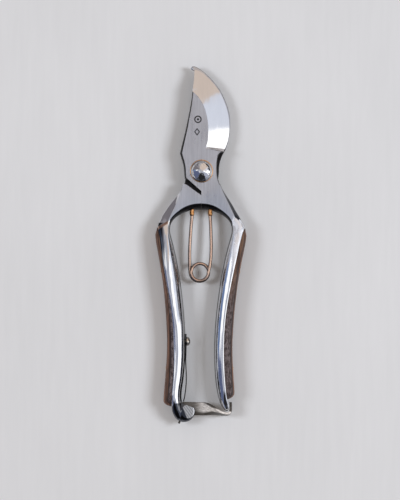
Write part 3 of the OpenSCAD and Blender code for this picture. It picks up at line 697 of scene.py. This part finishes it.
def blade_bevel():
    """The grind, finely divided and very slightly hollow, from a short ramp at the heel out to the tip."""
    rows = [[*edge, *inner, LAP_T if i <= GRIND_ON_FLAT else grind_height(inner)]
            for i, (edge, inner) in enumerate(zip(EDGE, GRIND))]
    corner = GRIND_ON_FLAT + 1
    across = 12
    rings = []
    ramp = [*HEEL, *HEEL_INNER, LAP_T]
    for k, (x, y, inner_x, inner_y, height) in enumerate([ramp] + curve(rows[:corner + 1], 6)
                                                         + curve(rows[corner:], 6)[1:]):
        edge_h = LAP_T - 0.1 if k == 0 else EDGE_T
        hollow = 0 if k == 0 else 0.1
        top = []
        for f in (j / across for j in range(across + 1)):
            sag = hollow * math.sin(math.pi * f) * (height / LAP_T) ** 2
            z = MID_Z + edge_h + (height - edge_h) * f - sag
            top.append([x + (inner_x - x) * f, y + (inner_y - y) * f, z])
        rings.append([[x, y, LAP_BOTTOM]] + top + [[inner_x, inner_y, LAP_BOTTOM]])
    return loft("bevel", rings, [bevel_steel])


def hook_plate():
    """The counter blade. Its outer corner is rounded, and it thins towards the tip from below."""
    outline = kept([[-GAP, NECK_INSIDE], [-GAP, SLOT_FOOT]], 0)
    outline += kept(curve(HOOK_OUTER, 5), 1)
    outline += kept([curve_at(HOOK_INNER, k / 4) for k in range(1, (len(HOOK_INNER) - 1) * 4 + 1)], 0.35)
    for k in (-1, -2):
        outline[k][2] = 0
    levels = [(LOW_Z, 0.8), (LOW_Z + 0.35, 0.4), (LOW_Z + 0.9, 0.1), (LOW_Z + 1.4, 0), (LAP_TOP - 0.5, 0),
              (LAP_TOP - 0.12, 0.12), (LAP_TOP, 0.3)]
    plate = prism("hook_plate", outline, levels, [polished])
    thin_from, thinning = 12, math.tan(math.radians(2.2))
    for v in plate.data.vertices:
        y = (v.co.y - PIVOT[1]) / MM
        if y > thin_from:
            low = LOW_Z + (y - thin_from) * thinning
            f = (v.co.z / MM - LOW_Z) / (LAP_TOP - LOW_Z)
            v.co.z = (low + (LAP_TOP - low) * f) * MM
    return plate


def cap(radius, height, foot, steps, span=None):
    """A dome's section from its foot to its top. It may start nearer the top, span degrees from it."""
    ball = (radius ** 2 + height ** 2) / (2 * height)
    span = span or math.degrees(math.asin(radius / ball))
    return [(ball * sine(q), foot + height - ball + ball * cosine(q))
            for q in (span * (1 - k / steps) for k in range(steps + 1))]


def drill(name, origin, axis, length, radius, flare=None):
    """A round cutter. flare = (radius, depth) widens its mouth."""
    profile = [(radius, 0), (radius, length)]
    if flare:
        profile = [(flare[0], 0), (radius, flare[1]), (radius, length)]
    return lathe(name, [(0, 0)] + profile + [(0, length)], origin, axis, [], 48)


def pivot_bore():
    return drill("bore", (0, 0, -1), UP, 17, BORE_R)


SOCKET = [5.1, -21.3]        # where a spring leg is seated


def socket(side):
    return drill("socket", (side * SOCKET[0], SOCKET[1] - 1.6, MID_Z), (0, 1, 0), 6.2, 1.5, (2.7, 2.4))


PIN_STATIONS = {"upper": 12.95, "lower": 19.5}
PIN_R = 1.3
PIN_DEPTH = 2.0              # in the steel below the cover
PIN_PROUD = 0.15


def pin_place(rows, t, side):
    """Where a cover's pin starts, and its length."""
    x, y, cover_x, cover_y = curve_at(rows, t)[2:6]
    return (side * (x - PIN_DEPTH), (y + cover_y) / 2, MID_Z), cover_x - x + PIN_DEPTH + PIN_PROUD


def pin_holes(rows, side):
    places = [pin_place(rows, t, side) for t in PIN_STATIONS.values()]
    return [drill("hole", at, (side, 0, 0), length + 1, PIN_R + 0.02) for at, length in places]


def finish_faces(obj, zones):
    """Gives each face the first zone's material whose test it passes."""
    data = obj.data
    names = []
    data.materials.clear()
    for m, _ in zones:
        if m.name not in names:
            names.append(m.name)
            data.materials.append(m)
    for p in data.polygons:
        c = p.center
        x, y, z = (c.x - PIVOT[0]) / MM, (c.y - PIVOT[1]) / MM, c.z / MM
        for m, test in zones:
            if test(x, y, z, p.normal):
                p.material_index = names.index(m.name)
                break


blade = handle("blade_half_visual", BLADE_ROWS, 1)
combine(blade, [blade_plate(), blade_bevel()], "UNION")
combine(blade, [pivot_bore(), socket(1)] + pin_holes(BLADE_ROWS, 1), "DIFFERENCE")

ARCH_END = -33.0
FLAT_END = -30.0
LEVEL = 0.9995               # the upward part of a level face's normal


def everywhere(x, y, z, n):
    return True


def is_flat(x, y, z, n):
    return n.z > LEVEL and z > TOP_Z - 0.02 and y > FLAT_END


def on_arch(x, y, z, n):
    """The rounded underside of the arch between the two halves, and the walls of the lap."""
    inwards = n.y < -0.25 or n.x * x < -0.6 * abs(x)
    return y > ARCH_END and inwards and abs(n.z) < 0.94 and abs(x) < 17.45


def is_level(x, y, z, n):
    return abs(n.z) > LEVEL and y > FLAT_END


def on_blade_wall(x, y, z, n):
    return abs(n.z) < 0.8 and -13.5 < y < 46 and x < 12 and not (n.x > 0.6 and y > 12)


# The heel's ramp gets a painted highlight; the shoulder's steep face, the arch, the lap walls and the blade's
# walls get painted shade.
finish_faces(blade, [
    (marked_steel, is_flat),
    (heel_steel, lambda x, y, z, n: 10.5 < y < 14.5 and x > 1.5 and n.y > 0.4 and n.z > 0.2),
    (shade_steel, lambda x, y, z, n: -27 < y < -5 and x > 9.5 and n.x > 0.2 and 0.1 < n.z < 0.85),
    (shade_black_steel, on_arch),
    (shade_black_steel, on_blade_wall),
    (bevel_steel, lambda x, y, z, n: y > 11 and x > -6.5 and 0.5 < n.z < LEVEL and z > LAP_BOTTOM + 0.1),
    (flat_steel, is_level),
    (polished, everywhere)])
finish_piece(blade, "blade_side", "blade_half", 24)

LUG_R = 6.2
LUG_T = 8.0
CROWN_H = 3.4
FACET_LEAN = 21
STRAP_T = 1.4
CATCH_PIN_R = 1.5
SCREW_Y = -95.7
SEAT_Z = LOW_Z + 1.5         # the bottom of the round seat for the washer and nut

hook = handle("hook_half_visual", HOOK_ROWS, -1)
lug_low = MID_Z - LUG_T / 2
lug_shape = [(0, lug_low), (LUG_R - 1, lug_low)]
lug_shape += [(LUG_R - 1 + sine(q), lug_low + 1 - cosine(q)) for q in range(15, 91, 15)]
lug_shape += [(LUG_R, MID_Z + 0.8), (LUG_R - 0.05, MID_Z + 1.4)] + cap(LUG_R, CROWN_H, MID_Z + 1.5, 24, 54.7)
lug = lathe("lug", lug_shape, (*HINGE, 0), UP, [polished], 96)
combine(lug, [box("facet", (0, -8, 0), (16, 8, 8), 0, (HINGE[0] - 1.15, HINGE[1], MID_Z + 4.7), FACET_LEAN),
              box("cut", (-4, 3.9, 0), (11, 11.9, 16), -22, (*HINGE, 0))], "DIFFERENCE")
combine(hook, [hook_plate(), lug], "UNION")
slot_half = STRAP_T / 2 + 0.12
combine(hook, [
    pivot_bore(),
    drill("seat", (0, 0, -1), UP, SEAT_Z + 1, 7.2),
    socket(-1),
    box("slot", (-26, -145, MID_Z - slot_half), (-1, -129.6, MID_Z + slot_half)),
    drill("pin_hole", (*HINGE, -1), UP, MID_Z + LUG_T / 2, CATCH_PIN_R + 0.01),
    drill("screw_hole", (-14, SCREW_Y, MID_Z), (1, 0, 0), 8, 1.22)] + pin_holes(HOOK_ROWS, -1), "DIFFERENCE")
# The lug's bulb gets a painted dark reflection; the arch, the lap walls, the slot face and the upper outer
# edge get painted shade.
finish_faces(hook, [
    (flat_steel, is_flat),
    (facet_steel, lambda x, y, z, n: y < -130 and abs(n.y) < 0.02 and abs(n.x - sine(FACET_LEAN)) < 0.01),
    (bulb_steel, lambda x, y, z, n: y < -130 and math.dist((x, y), HINGE) < 7.2),
    (shade_black_steel, on_arch),
    (shade_black_steel, lambda x, y, z, n: n.z > 0.3 and -16 < y < 13.5 and LAP_TOP - 0.8 < z < LAP_TOP + 0.1),
    (shade_black_steel, lambda x, y, z, n: -13.5 < y < 9 and abs(n.z) < 0.8 and x > -9.3),
    (flat_steel, is_level),
    (rim_steel, lambda x, y, z, n: y > 13.5 and n.x + n.y > 0.1),
    (hook_steel, everywhere)])
finish_piece(hook, "hook_side", "hook_half", 24)


# ---------- pivot ----------

DOME_R, DOME_H = 6.1, 3.6
SHANK_R = 4.0
WASHER_T = 0.8
base_z = TOP_Z + GAP + WASHER_T
dome = [(0, 0.3), (SHANK_R - 0.5, 0.3), (SHANK_R, 0.8), (SHANK_R, base_z), (DOME_R - 0.25, base_z),
        (DOME_R - 0.05, base_z + 0.08)] + cap(DOME_R, DOME_H, base_z, 28)[1:]
finish_piece(lathe("pivot_dome_bolt", dome, ORIGIN, UP, [dome_steel], 96),
             "hook_side", "pivot_bolt", 40)


def ring_profile(inside, outside, low, high, edge):
    """A flat ring's section. Its outer corners are broken twice and its inner ones once."""
    return [(inside, low + edge), (inside + edge, low), (outside - edge, low),
            (outside - edge * 0.3, low + edge * 0.3), (outside, low + edge), (outside, high - edge),
            (outside - edge * 0.3, high - edge * 0.3), (outside - edge, high), (inside + edge, high),
            (inside, high - edge), (inside, low + edge)]


finish_piece(lathe("dome_washer_ring", ring_profile(BORE_R, 6.45, TOP_Z + GAP, base_z, 0.2),
                   ORIGIN, UP, [washer_bronze], 96), "hook_side", "dome_washer")

SPRING_WASHER_T = 1.2
NUT_H = SEAT_Z - SPRING_WASHER_T
NUT_HALF = 6                 # half its width across the flats
split = lathe("split_spring_washer", ring_profile(4.15, 6.4, NUT_H, SEAT_Z, 0.12), ORIGIN, UP,
              [plain_steel], 96)
combine(split, [box("split", (0, -0.4, 0), (10, 0.4, 10), 200)], "DIFFERENCE")
finish_piece(split, "hook_side", "spring_washer")

corner_r = NUT_HALF / cosine(30)
nut = loft("pivot_hex_nut", [[[corner_r * cosine(60 * k), corner_r * sine(60 * k), z] for k in range(6)]
                             for z in (0.0, NUT_H)], [plain_steel])
cone = lathe("cone", [(0, -0.01), (6.15, -0.01), (6.2, 0), (7.2, 0.55), (9, 1.5), (9, 4), (0, 4)],
             ORIGIN, UP, [plain_steel], 96)
combine(nut, [cone], "INTERSECT")
combine(nut, [drill("thread", (0, 0, -1), UP, 6, SHANK_R + GAP)], "DIFFERENCE")
finish_piece(nut, "hook_side", "pivot_nut")


# ---------- hairpin spring ----------

WIRE_R = 0.9
COIL_R = 4.8
COIL_AT = [-0.35, -56.7]
COIL_RISE = 1.5
COIL_TURN = 540
LEFT_LEG = [[-5.1, -20.9, 0], [-5.1, -25.2, 0], [-5.45, -29.5, -0.15], [-5.85, -36, -0.45],
            [-6.15, -42, -0.75], [-6.25, -48, -1.15], [-6.05, -53, -1.45]]
RIGHT_LEG = [[5.1, -20.9, 0], [5.1, -25.2, 0], [5.45, -30, 0.15], [5.7, -36, 0.45], [5.9, -42, 0.75],
             [5.75, -48, 1.15], [5.2, -53, 1.45]]


def coil_point(q):
    """The coil sinks as it turns, and widens over its last part to meet the left leg."""
    s = q / COIL_TURN
    r = COIL_R + 0.7 * s ** 4
    return [COIL_AT[0] + r * cosine(-q), COIL_AT[1] + r * sine(-q), COIL_RISE * (1 - 2 * s)]


def tube(name, path, radius, sides, materials):
    rings = []
    for k, p in enumerate(path):
        t = Vector(path[min(k + 1, len(path) - 1)]) - Vector(path[max(k - 1, 0)])
        t.normalize()
        across = t.cross(Vector((0, 0, 1))).normalized()
        up = across.cross(t)
        rings.append([list(Vector(p) + radius * (math.cos(a) * across - math.sin(a) * up))
                      for a in (2 * math.pi * j / sides for j in range(sides))])
    return loft(name, rings, materials)


key_points = RIGHT_LEG + [coil_point(q) for q in range(0, COIL_TURN + 1, 20)] + LEFT_LEG[::-1]
wire = [[p[0], p[1], p[2] + MID_Z] for p in curve(key_points, 5)]
spring = tube("hairpin_spring_wire", wire, WIRE_R, 20, [wire_bronze])
smooth(spring, 50)
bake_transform(spring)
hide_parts("hairpin_spring")

bead = [(0, 1.33)] + [(1.34 * sine(q), 1.34 * cosine(q)) for q in range(15, 76, 15)]
bead += [(1.33, 0), (1.24, -0.7), (1.2, -1.2), (1.28, -1.9), (1.32, -2.5), (1.28, -3.0), (1.12, -3.45),
         (0.99, -3.75), (0.92, -3.8), (0, -3.8)]
for side, word in ((-1, "left"), (1, "right")):
    ferrule = lathe(f"spring_ferrule_{word}", bead, (side * SOCKET[0], SOCKET[1], MID_Z), (0, 1, 0),
                    [bead_brass], 40)
    finish_piece(ferrule, f"spring_{word}_leg", f"spring_end_{word}", 50)


# ---------- grips ----------

COVER_FIRST = 9.2            # the station where the covers start
END_ROUND = 0.75             # stations over which their lower ends close
COVER_POWER = 0.85
COVER_STEPS = 16


def cover_ring(row, side, full):
    """A cover's section: a rounded bar on the handle's outer wall, with a share of its full width."""
    seat, cover, wall = row[2:4], row[4:6], row[9]
    along = unit([cover[0] - seat[0], cover[1] - seat[1]])
    w = (math.dist(seat, cover) - 2 * GAP) * full
    wall *= 0.35 + 0.65 * math.sqrt(full)
    upper = [(2 * GAP + w * power(sine(q), COVER_POWER), wall * power(cosine(q), COVER_POWER))
             for q in (90 * k / COVER_STEPS for k in range(COVER_STEPS + 1))]
    lower = [(x, -z) for x, z in upper[-2::-1]]
    return [[side * (seat[0] + along[0] * x), seat[1] + along[1] * x, MID_Z + z] for x, z in upper + lower]


def grip(name, rows, side, last, wood_finish):
    """A wooden cover up to station last. It grows from a thin upper end and closes in a rounded lower one."""
    count = 90
    straight = last - END_ROUND - COVER_FIRST
    stations = [COVER_FIRST + straight * k / count for k in range(count)]
    stations += [last - END_ROUND * (1 - sine(9 * k)) for k in range(11)]
    rings = []
    for t in stations:
        s = max(0, (t - last + END_ROUND) / END_ROUND)
        start = min(1, 0.45 + (t - COVER_FIRST) * 0.8)
        rings.append(cover_ring(curve_at(rows, t), side, min(start, math.sqrt(max(0.03, 1 - s * s)))))
    cover = loft(name, rings, [wood_finish])
    combine(cover, pin_holes(rows, side), "DIFFERENCE")
    return cover


finish_piece(grip("grip_cover_left", HOOK_ROWS, -1, 23.0, wood_left),
             "hook_side", "grip_left", 40)
finish_piece(grip("grip_cover_right", BLADE_ROWS, 1, 22.1, wood_right),
             "blade_side", "grip_right", 40)

for side, word, rows, body in ((-1, "left", HOOK_ROWS, "hook_side"), (1, "right", BLADE_ROWS, "blade_side")):
    for place_word, t in PIN_STATIONS.items():
        at, length = pin_place(rows, t, side)
        shape = [(0, 0), (PIN_R, 0), (PIN_R, length - 0.25), (PIN_R - 0.12, length - 0.08),
                 (PIN_R - 0.4, length), (0, length)]
        finish_piece(lathe(f"grip_pin_{word}_{place_word}", shape, at, (side, 0, 0), [pin_brass], 40),
                     body, f"pin_{word}_{place_word}", 40)


# ---------- catch ----------

STRAP_W = 7.4
# x, y, share of the width, and the twist in degrees
STRAP_ROWS = [[-8, -133.45, 1, 0], [-2, -133.45, 1, 0], [1, -133.45, 1, 0], [3.6, -133.6, 1, 14],
              [6.4, -134.1, 0.99, 38], [9.2, -134.95, 0.97, 60], [12, -135.85, 0.94, 74],
              [14.5, -136.3, 0.92, 78], [16.6, -136.1, 0.88, 82], [17.6, -134.9, 0.84, 86],
              [17.8, -132.8, 0.8, 89], [17.75, -131.2, 0.74, 90], [17.7, -129.7, 0.64, 90]]


def strip_section(half_w, half_t, r):
    """A flat bar's section with rounded edges."""
    corners = [(half_w - r, half_t - r, 0), (-half_w + r, half_t - r, 90), (-half_w + r, -half_t + r, 180),
               (half_w - r, -half_t + r, 270)]
    return [(x + r * cosine(q + a), y + r * sine(q + a))
            for x, y, a in corners for q in (0, 22.5, 45, 67.5, 90)]


def heading(path, k):
    """The direction of a path in the plane at its point k."""
    ahead, back = path[min(k + 1, len(path) - 1)], path[max(k - 1, 0)]
    return unit([ahead[0] - back[0], ahead[1] - back[1]])


strap_path = curve(STRAP_ROWS, 8)
strap_rings = []
for k, (x, y, share, twist) in enumerate(strap_path):
    t = heading(strap_path, k)
    sideways = Vector((-t[1], t[0], 0))
    across = cosine(twist) * sideways + sine(twist) * Vector(UP)
    through = -sine(twist) * sideways + cosine(twist) * Vector(UP)
    end = 1 - 0.12 * max(0, 1 - (len(strap_path) - 1 - k) / 3)
    thin = 0.999 if k else 1           # keeps its faces out of the hub's, which has the same thickness
    strap_rings.append([list(Vector((x, y, MID_Z)) + across * a * end + through * b)
                        for a, b in strip_section(STRAP_W * share / 2, STRAP_T / 2 * thin, 0.42)])
strap = loft("catch_strap_twisted", strap_rings, [strap_steel])
hub = lathe("hub", ring_profile(1.55, 5.05, MID_Z - STRAP_T / 2, MID_Z + STRAP_T / 2, 0.2), (*HINGE, 0), UP,
            [strap_steel], 72)
tail = box("tail", (-0.55, -7.6, MID_Z - 0.65), (0.55, -3.0, MID_Z + 0.65), -22, (*HINGE, 0))
combine(strap, [hub, tail], "UNION")
combine(strap, [drill("eye", (*HINGE, 0), UP, 15, 1.55)], "DIFFERENCE")
finish_piece(strap, "catch", "catch_strap", 35)

pin_low = MID_Z - LUG_T / 2
pin_high = pin_low + LUG_T - 1
pin = lathe("catch_pivot_pin", [(0, pin_low), (CATCH_PIN_R - 0.2, pin_low), (CATCH_PIN_R, pin_low + 0.2),
                                (CATCH_PIN_R, pin_high - 0.2), (CATCH_PIN_R - 0.2, pin_high), (0, pin_high)],
            (*HINGE, 0), UP, [plain_steel], 40)
combine(pin, [box("driver", (-3, -0.25, pin_low - 1), (3, 0.25, pin_low + 0.6), 0, (*HINGE, 0))],
        "DIFFERENCE")
finish_piece(pin, "hook_side", "catch_pin")

LEAF = [[-7.82, -91.5], [-7.74, -95.7], [-7.71, -101], [-7.8, -107], [-7.4, -114.5], [-7.5, -120.5],
        [-8.1, -126], [-8.8, -129.4]]
LEAF_W, LEAF_T = 5.0, 0.6
leaf_path = curve(LEAF, 8)
leaf_rings = []
for k, p in enumerate(leaf_path):
    t = heading(leaf_path, k)
    leaf_rings.append([[p[0] - t[1] * b, p[1] + t[0] * b, MID_Z + a]
                       for a, b in strip_section(LEAF_W / 2, LEAF_T / 2, 0.22)])
leaf = loft("catch_leaf", leaf_rings, [leaf_steel])
combine(leaf, [drill("leaf_hole", (-12, SCREW_Y, MID_Z), (1, 0, 0), 8, 1.3)], "DIFFERENCE")
finish_piece(leaf, "hook_side", "catch_leaf_spring")

head_x = LEAF[1][0] + LEAF_T / 2
SCREW_HEAD_R = 2.5
screw_shape = [(0, -4.5), (1.2, -4.5), (1.2, 0), (SCREW_HEAD_R - 0.15, 0), (SCREW_HEAD_R, 0.12),
               (SCREW_HEAD_R, 0.45)]
screw_shape += [(SCREW_HEAD_R * cosine(q), 0.45 + 1.65 * sine(q)) for q in range(15, 91, 15)]
screw = lathe("leaf_screw_round_head", screw_shape, (head_x, SCREW_Y, MID_Z), (1, 0, 0), [screw_steel], 48)
finish_piece(screw, "hook_side", "leaf_screw", 45)


# ---------- floor ----------

floor_mat, n, inputs, where = material("floor_pale_plaster")
streaks = n.noise(where, (260, 22, 1), 4, 0.6)
clouds = n.noise(where, (14, 9, 1))
tone = n.plus(n.step(streaks, 0.3, 0.7, 0.985, 1.015, "LINEAR"),
              n.step(clouds, 0.3, 0.7, -0.022, 0.022, "LINEAR"))
grey = n.new("ShaderNodeCombineColor")
for k, c in enumerate((0.745, 0.745, 0.75)):
    n.link(n.times(tone, c), grey.inputs[k])
n.link(grey.outputs[0], inputs["Base Color"])
inputs["Roughness"].default_value = 0.85
inputs["Specular IOR Level"].default_value = 0.15
n.link(n.bump(streaks, 0.12, 0.0004), inputs["Normal"])
half = 6.0
corners = [(-half, -half, 0), (half, -half, 0), (half, half, 0), (-half, half, 0)]
floor_data = bpy.data.meshes.new("floor")
floor_data.from_pydata(corners, [], [(0, 1, 2, 3)])
floor_data.materials.append(floor_mat)
floor = show("floor", floor_data)


# ---------- light ----------

def softbox(name, azimuth, elevation, distance, size, watts, colour):
    data = bpy.data.lights.new(name, "AREA")
    data.shape = "RECTANGLE"
    data.size, data.size_y = size
    data.energy = watts
    data.color = colour
    obj = show(name, data)
    toward = Vector((cosine(azimuth) * cosine(elevation), sine(azimuth) * cosine(elevation), sine(elevation)))
    obj.location = toward * distance
    obj.rotation_mode = "QUATERNION"
    obj.rotation_quaternion = toward.to_track_quat("Z", "Y")
    obj.visible_glossy = False


for name, azimuth, watts in (("softbox_left", 172, 7.7), ("softbox_right", 8, 11.8)):
    softbox(name, azimuth, 52, 1.6, (0.4, 0.5), watts, (0.87, 0.92, 1.0))

world = bpy.data.worlds.new("studio")
world.use_nodes = True
world.cycles.sampling_method = "NONE"
bpy.context.scene.world = world
w = Nodes(world.node_tree)
for node in list(world.node_tree.nodes):
    world.node_tree.nodes.remove(node)
direction = w.new("ShaderNodeSeparateXYZ")
w.link(w.new("ShaderNodeTexCoord").outputs["Generated"], direction.inputs[0])
dx, dy, dz = direction.outputs
elevation = w.times(w.math("ARCSINE", dz), 180 / math.pi)


def elevation_colour(rows):
    """A colour that changes with the height above the horizon."""
    colour = rows[0][1]
    for (low, _), (high, after) in zip(rows, rows[1:]):
        colour = w.mix(w.step(elevation, float(low), float(high)), colour, after)
    return colour


def patch(colour, azimuth, half_width, low, high, tint, edge, top_edge):
    """A card of one colour in the room round the snips."""
    along = w.plus(w.times(dx, cosine(azimuth)), w.times(dy, sine(azimuth)))
    aside = w.math("SUBTRACT", w.times(dy, cosine(azimuth)), w.times(dx, sine(azimuth)))
    off = w.size(w.times(w.math("ARCTAN2", aside, along), 180 / math.pi))
    mask = w.drop(off, half_width - edge, half_width + edge)
    mask = w.times(mask, w.step(elevation, low - top_edge, low + top_edge))
    mask = w.times(mask, w.drop(elevation, high - top_edge, high + top_edge))
    return w.mix(mask, colour, tint)


ZENITH = (0.455, 0.475, 0.545)
TAN = (0.76, 0.64, 0.56)
# The bare room, in rows of elevation and colour.
room = elevation_colour([(0, (0.07, 0.075, 0.09)), (12, (0.2, 0.23, 0.32)), (30, (0.5, 0.54, 0.66)),
                         (52, (0.74, 0.77, 0.86)), (70, (0.64, 0.66, 0.74)), (82, ZENITH)])
# azimuth, half width, lowest and highest elevation, colour, softness of the sides and of the two ends
CARDS = [
    (92, 26, 8, 74, (0.52, 0.5, 0.5), 9, 8),
    (56, 46, 54, 82, TAN, 2, 4),
    (60, 27, 12, 88, TAN, 2, 4),
    (19, 15, 10, 54, (0.82, 0.86, 0.97), 2, 4),
    (38, 34, -10, 22, (0.04, 0.042, 0.05), 6, 5),
    (-9, 14, 8, 72, (1.65, 1.65, 1.65), 1.2, 4),
    (5, 7, 55, 78, (1.5, 1.5, 1.5), 2, 3),
    (-42, 18, 8, 70, (0.46, 0.49, 0.6), 7, 8),
    (-92, 33, 6, 70, (0.025, 0.024, 0.026), 9, 7),
    (132, 22, 8, 74, (0.33, 0.305, 0.325), 4, 6),
    (148, 13, 0, 60, (0.21, 0.195, 0.21), 4, 5),
    (175.5, 9, 16, 79, (1.45, 1.45, 1.45), 2, 5),
    (175.5, 9, 3, 36, (0.17, 0.245, 0.43), 2, 7),
    (209.5, 25, 3, 66, (0.12, 0.145, 0.255), 1.5, 8)]
for card in CARDS:
    room = patch(room, *card)

# Only reflections see the cards. Surfaces are lit by an even warm tone, and the camera sees a plain grey.
AMBIENT = (0.388, 0.35, 0.322)
BACKDROP = (0.66, 0.66, 0.67)
ray = w.new("ShaderNodeLightPath")
colour = w.mix(ray.outputs["Is Glossy Ray"], AMBIENT, room)
colour = w.mix(ray.outputs["Is Camera Ray"], colour, BACKDROP)
back = w.new("ShaderNodeBackground")
w.link(colour, back.inputs["Color"])
out = w.new("ShaderNodeOutputWorld")
w.link(back.outputs[0], out.inputs["Surface"])
bpy.context.scene.view_settings.view_transform = "Standard"


# ---------- camera ----------

HEIGHT = 1.2                 # from the camera to the middle of the object
SEEN = 0.2813                # length of the picture's long side at that distance
SENSOR = 36
AIM = (-0.4, -44.2)          # the middle of the picture, about the pivot
ROLL = 0.58
data = bpy.data.cameras.new("camera")
data.sensor_width = SENSOR
data.lens = SENSOR * HEIGHT / SEEN
data.clip_start, data.clip_end = 0.05, 30
camera = show("camera", data)
camera.location = (PIVOT[0] + AIM[0] * MM, PIVOT[1] + AIM[1] * MM, HEIGHT + MID_Z * MM)
camera.rotation_euler = (0, 0, math.radians(ROLL))
bpy.context.scene.camera = camera
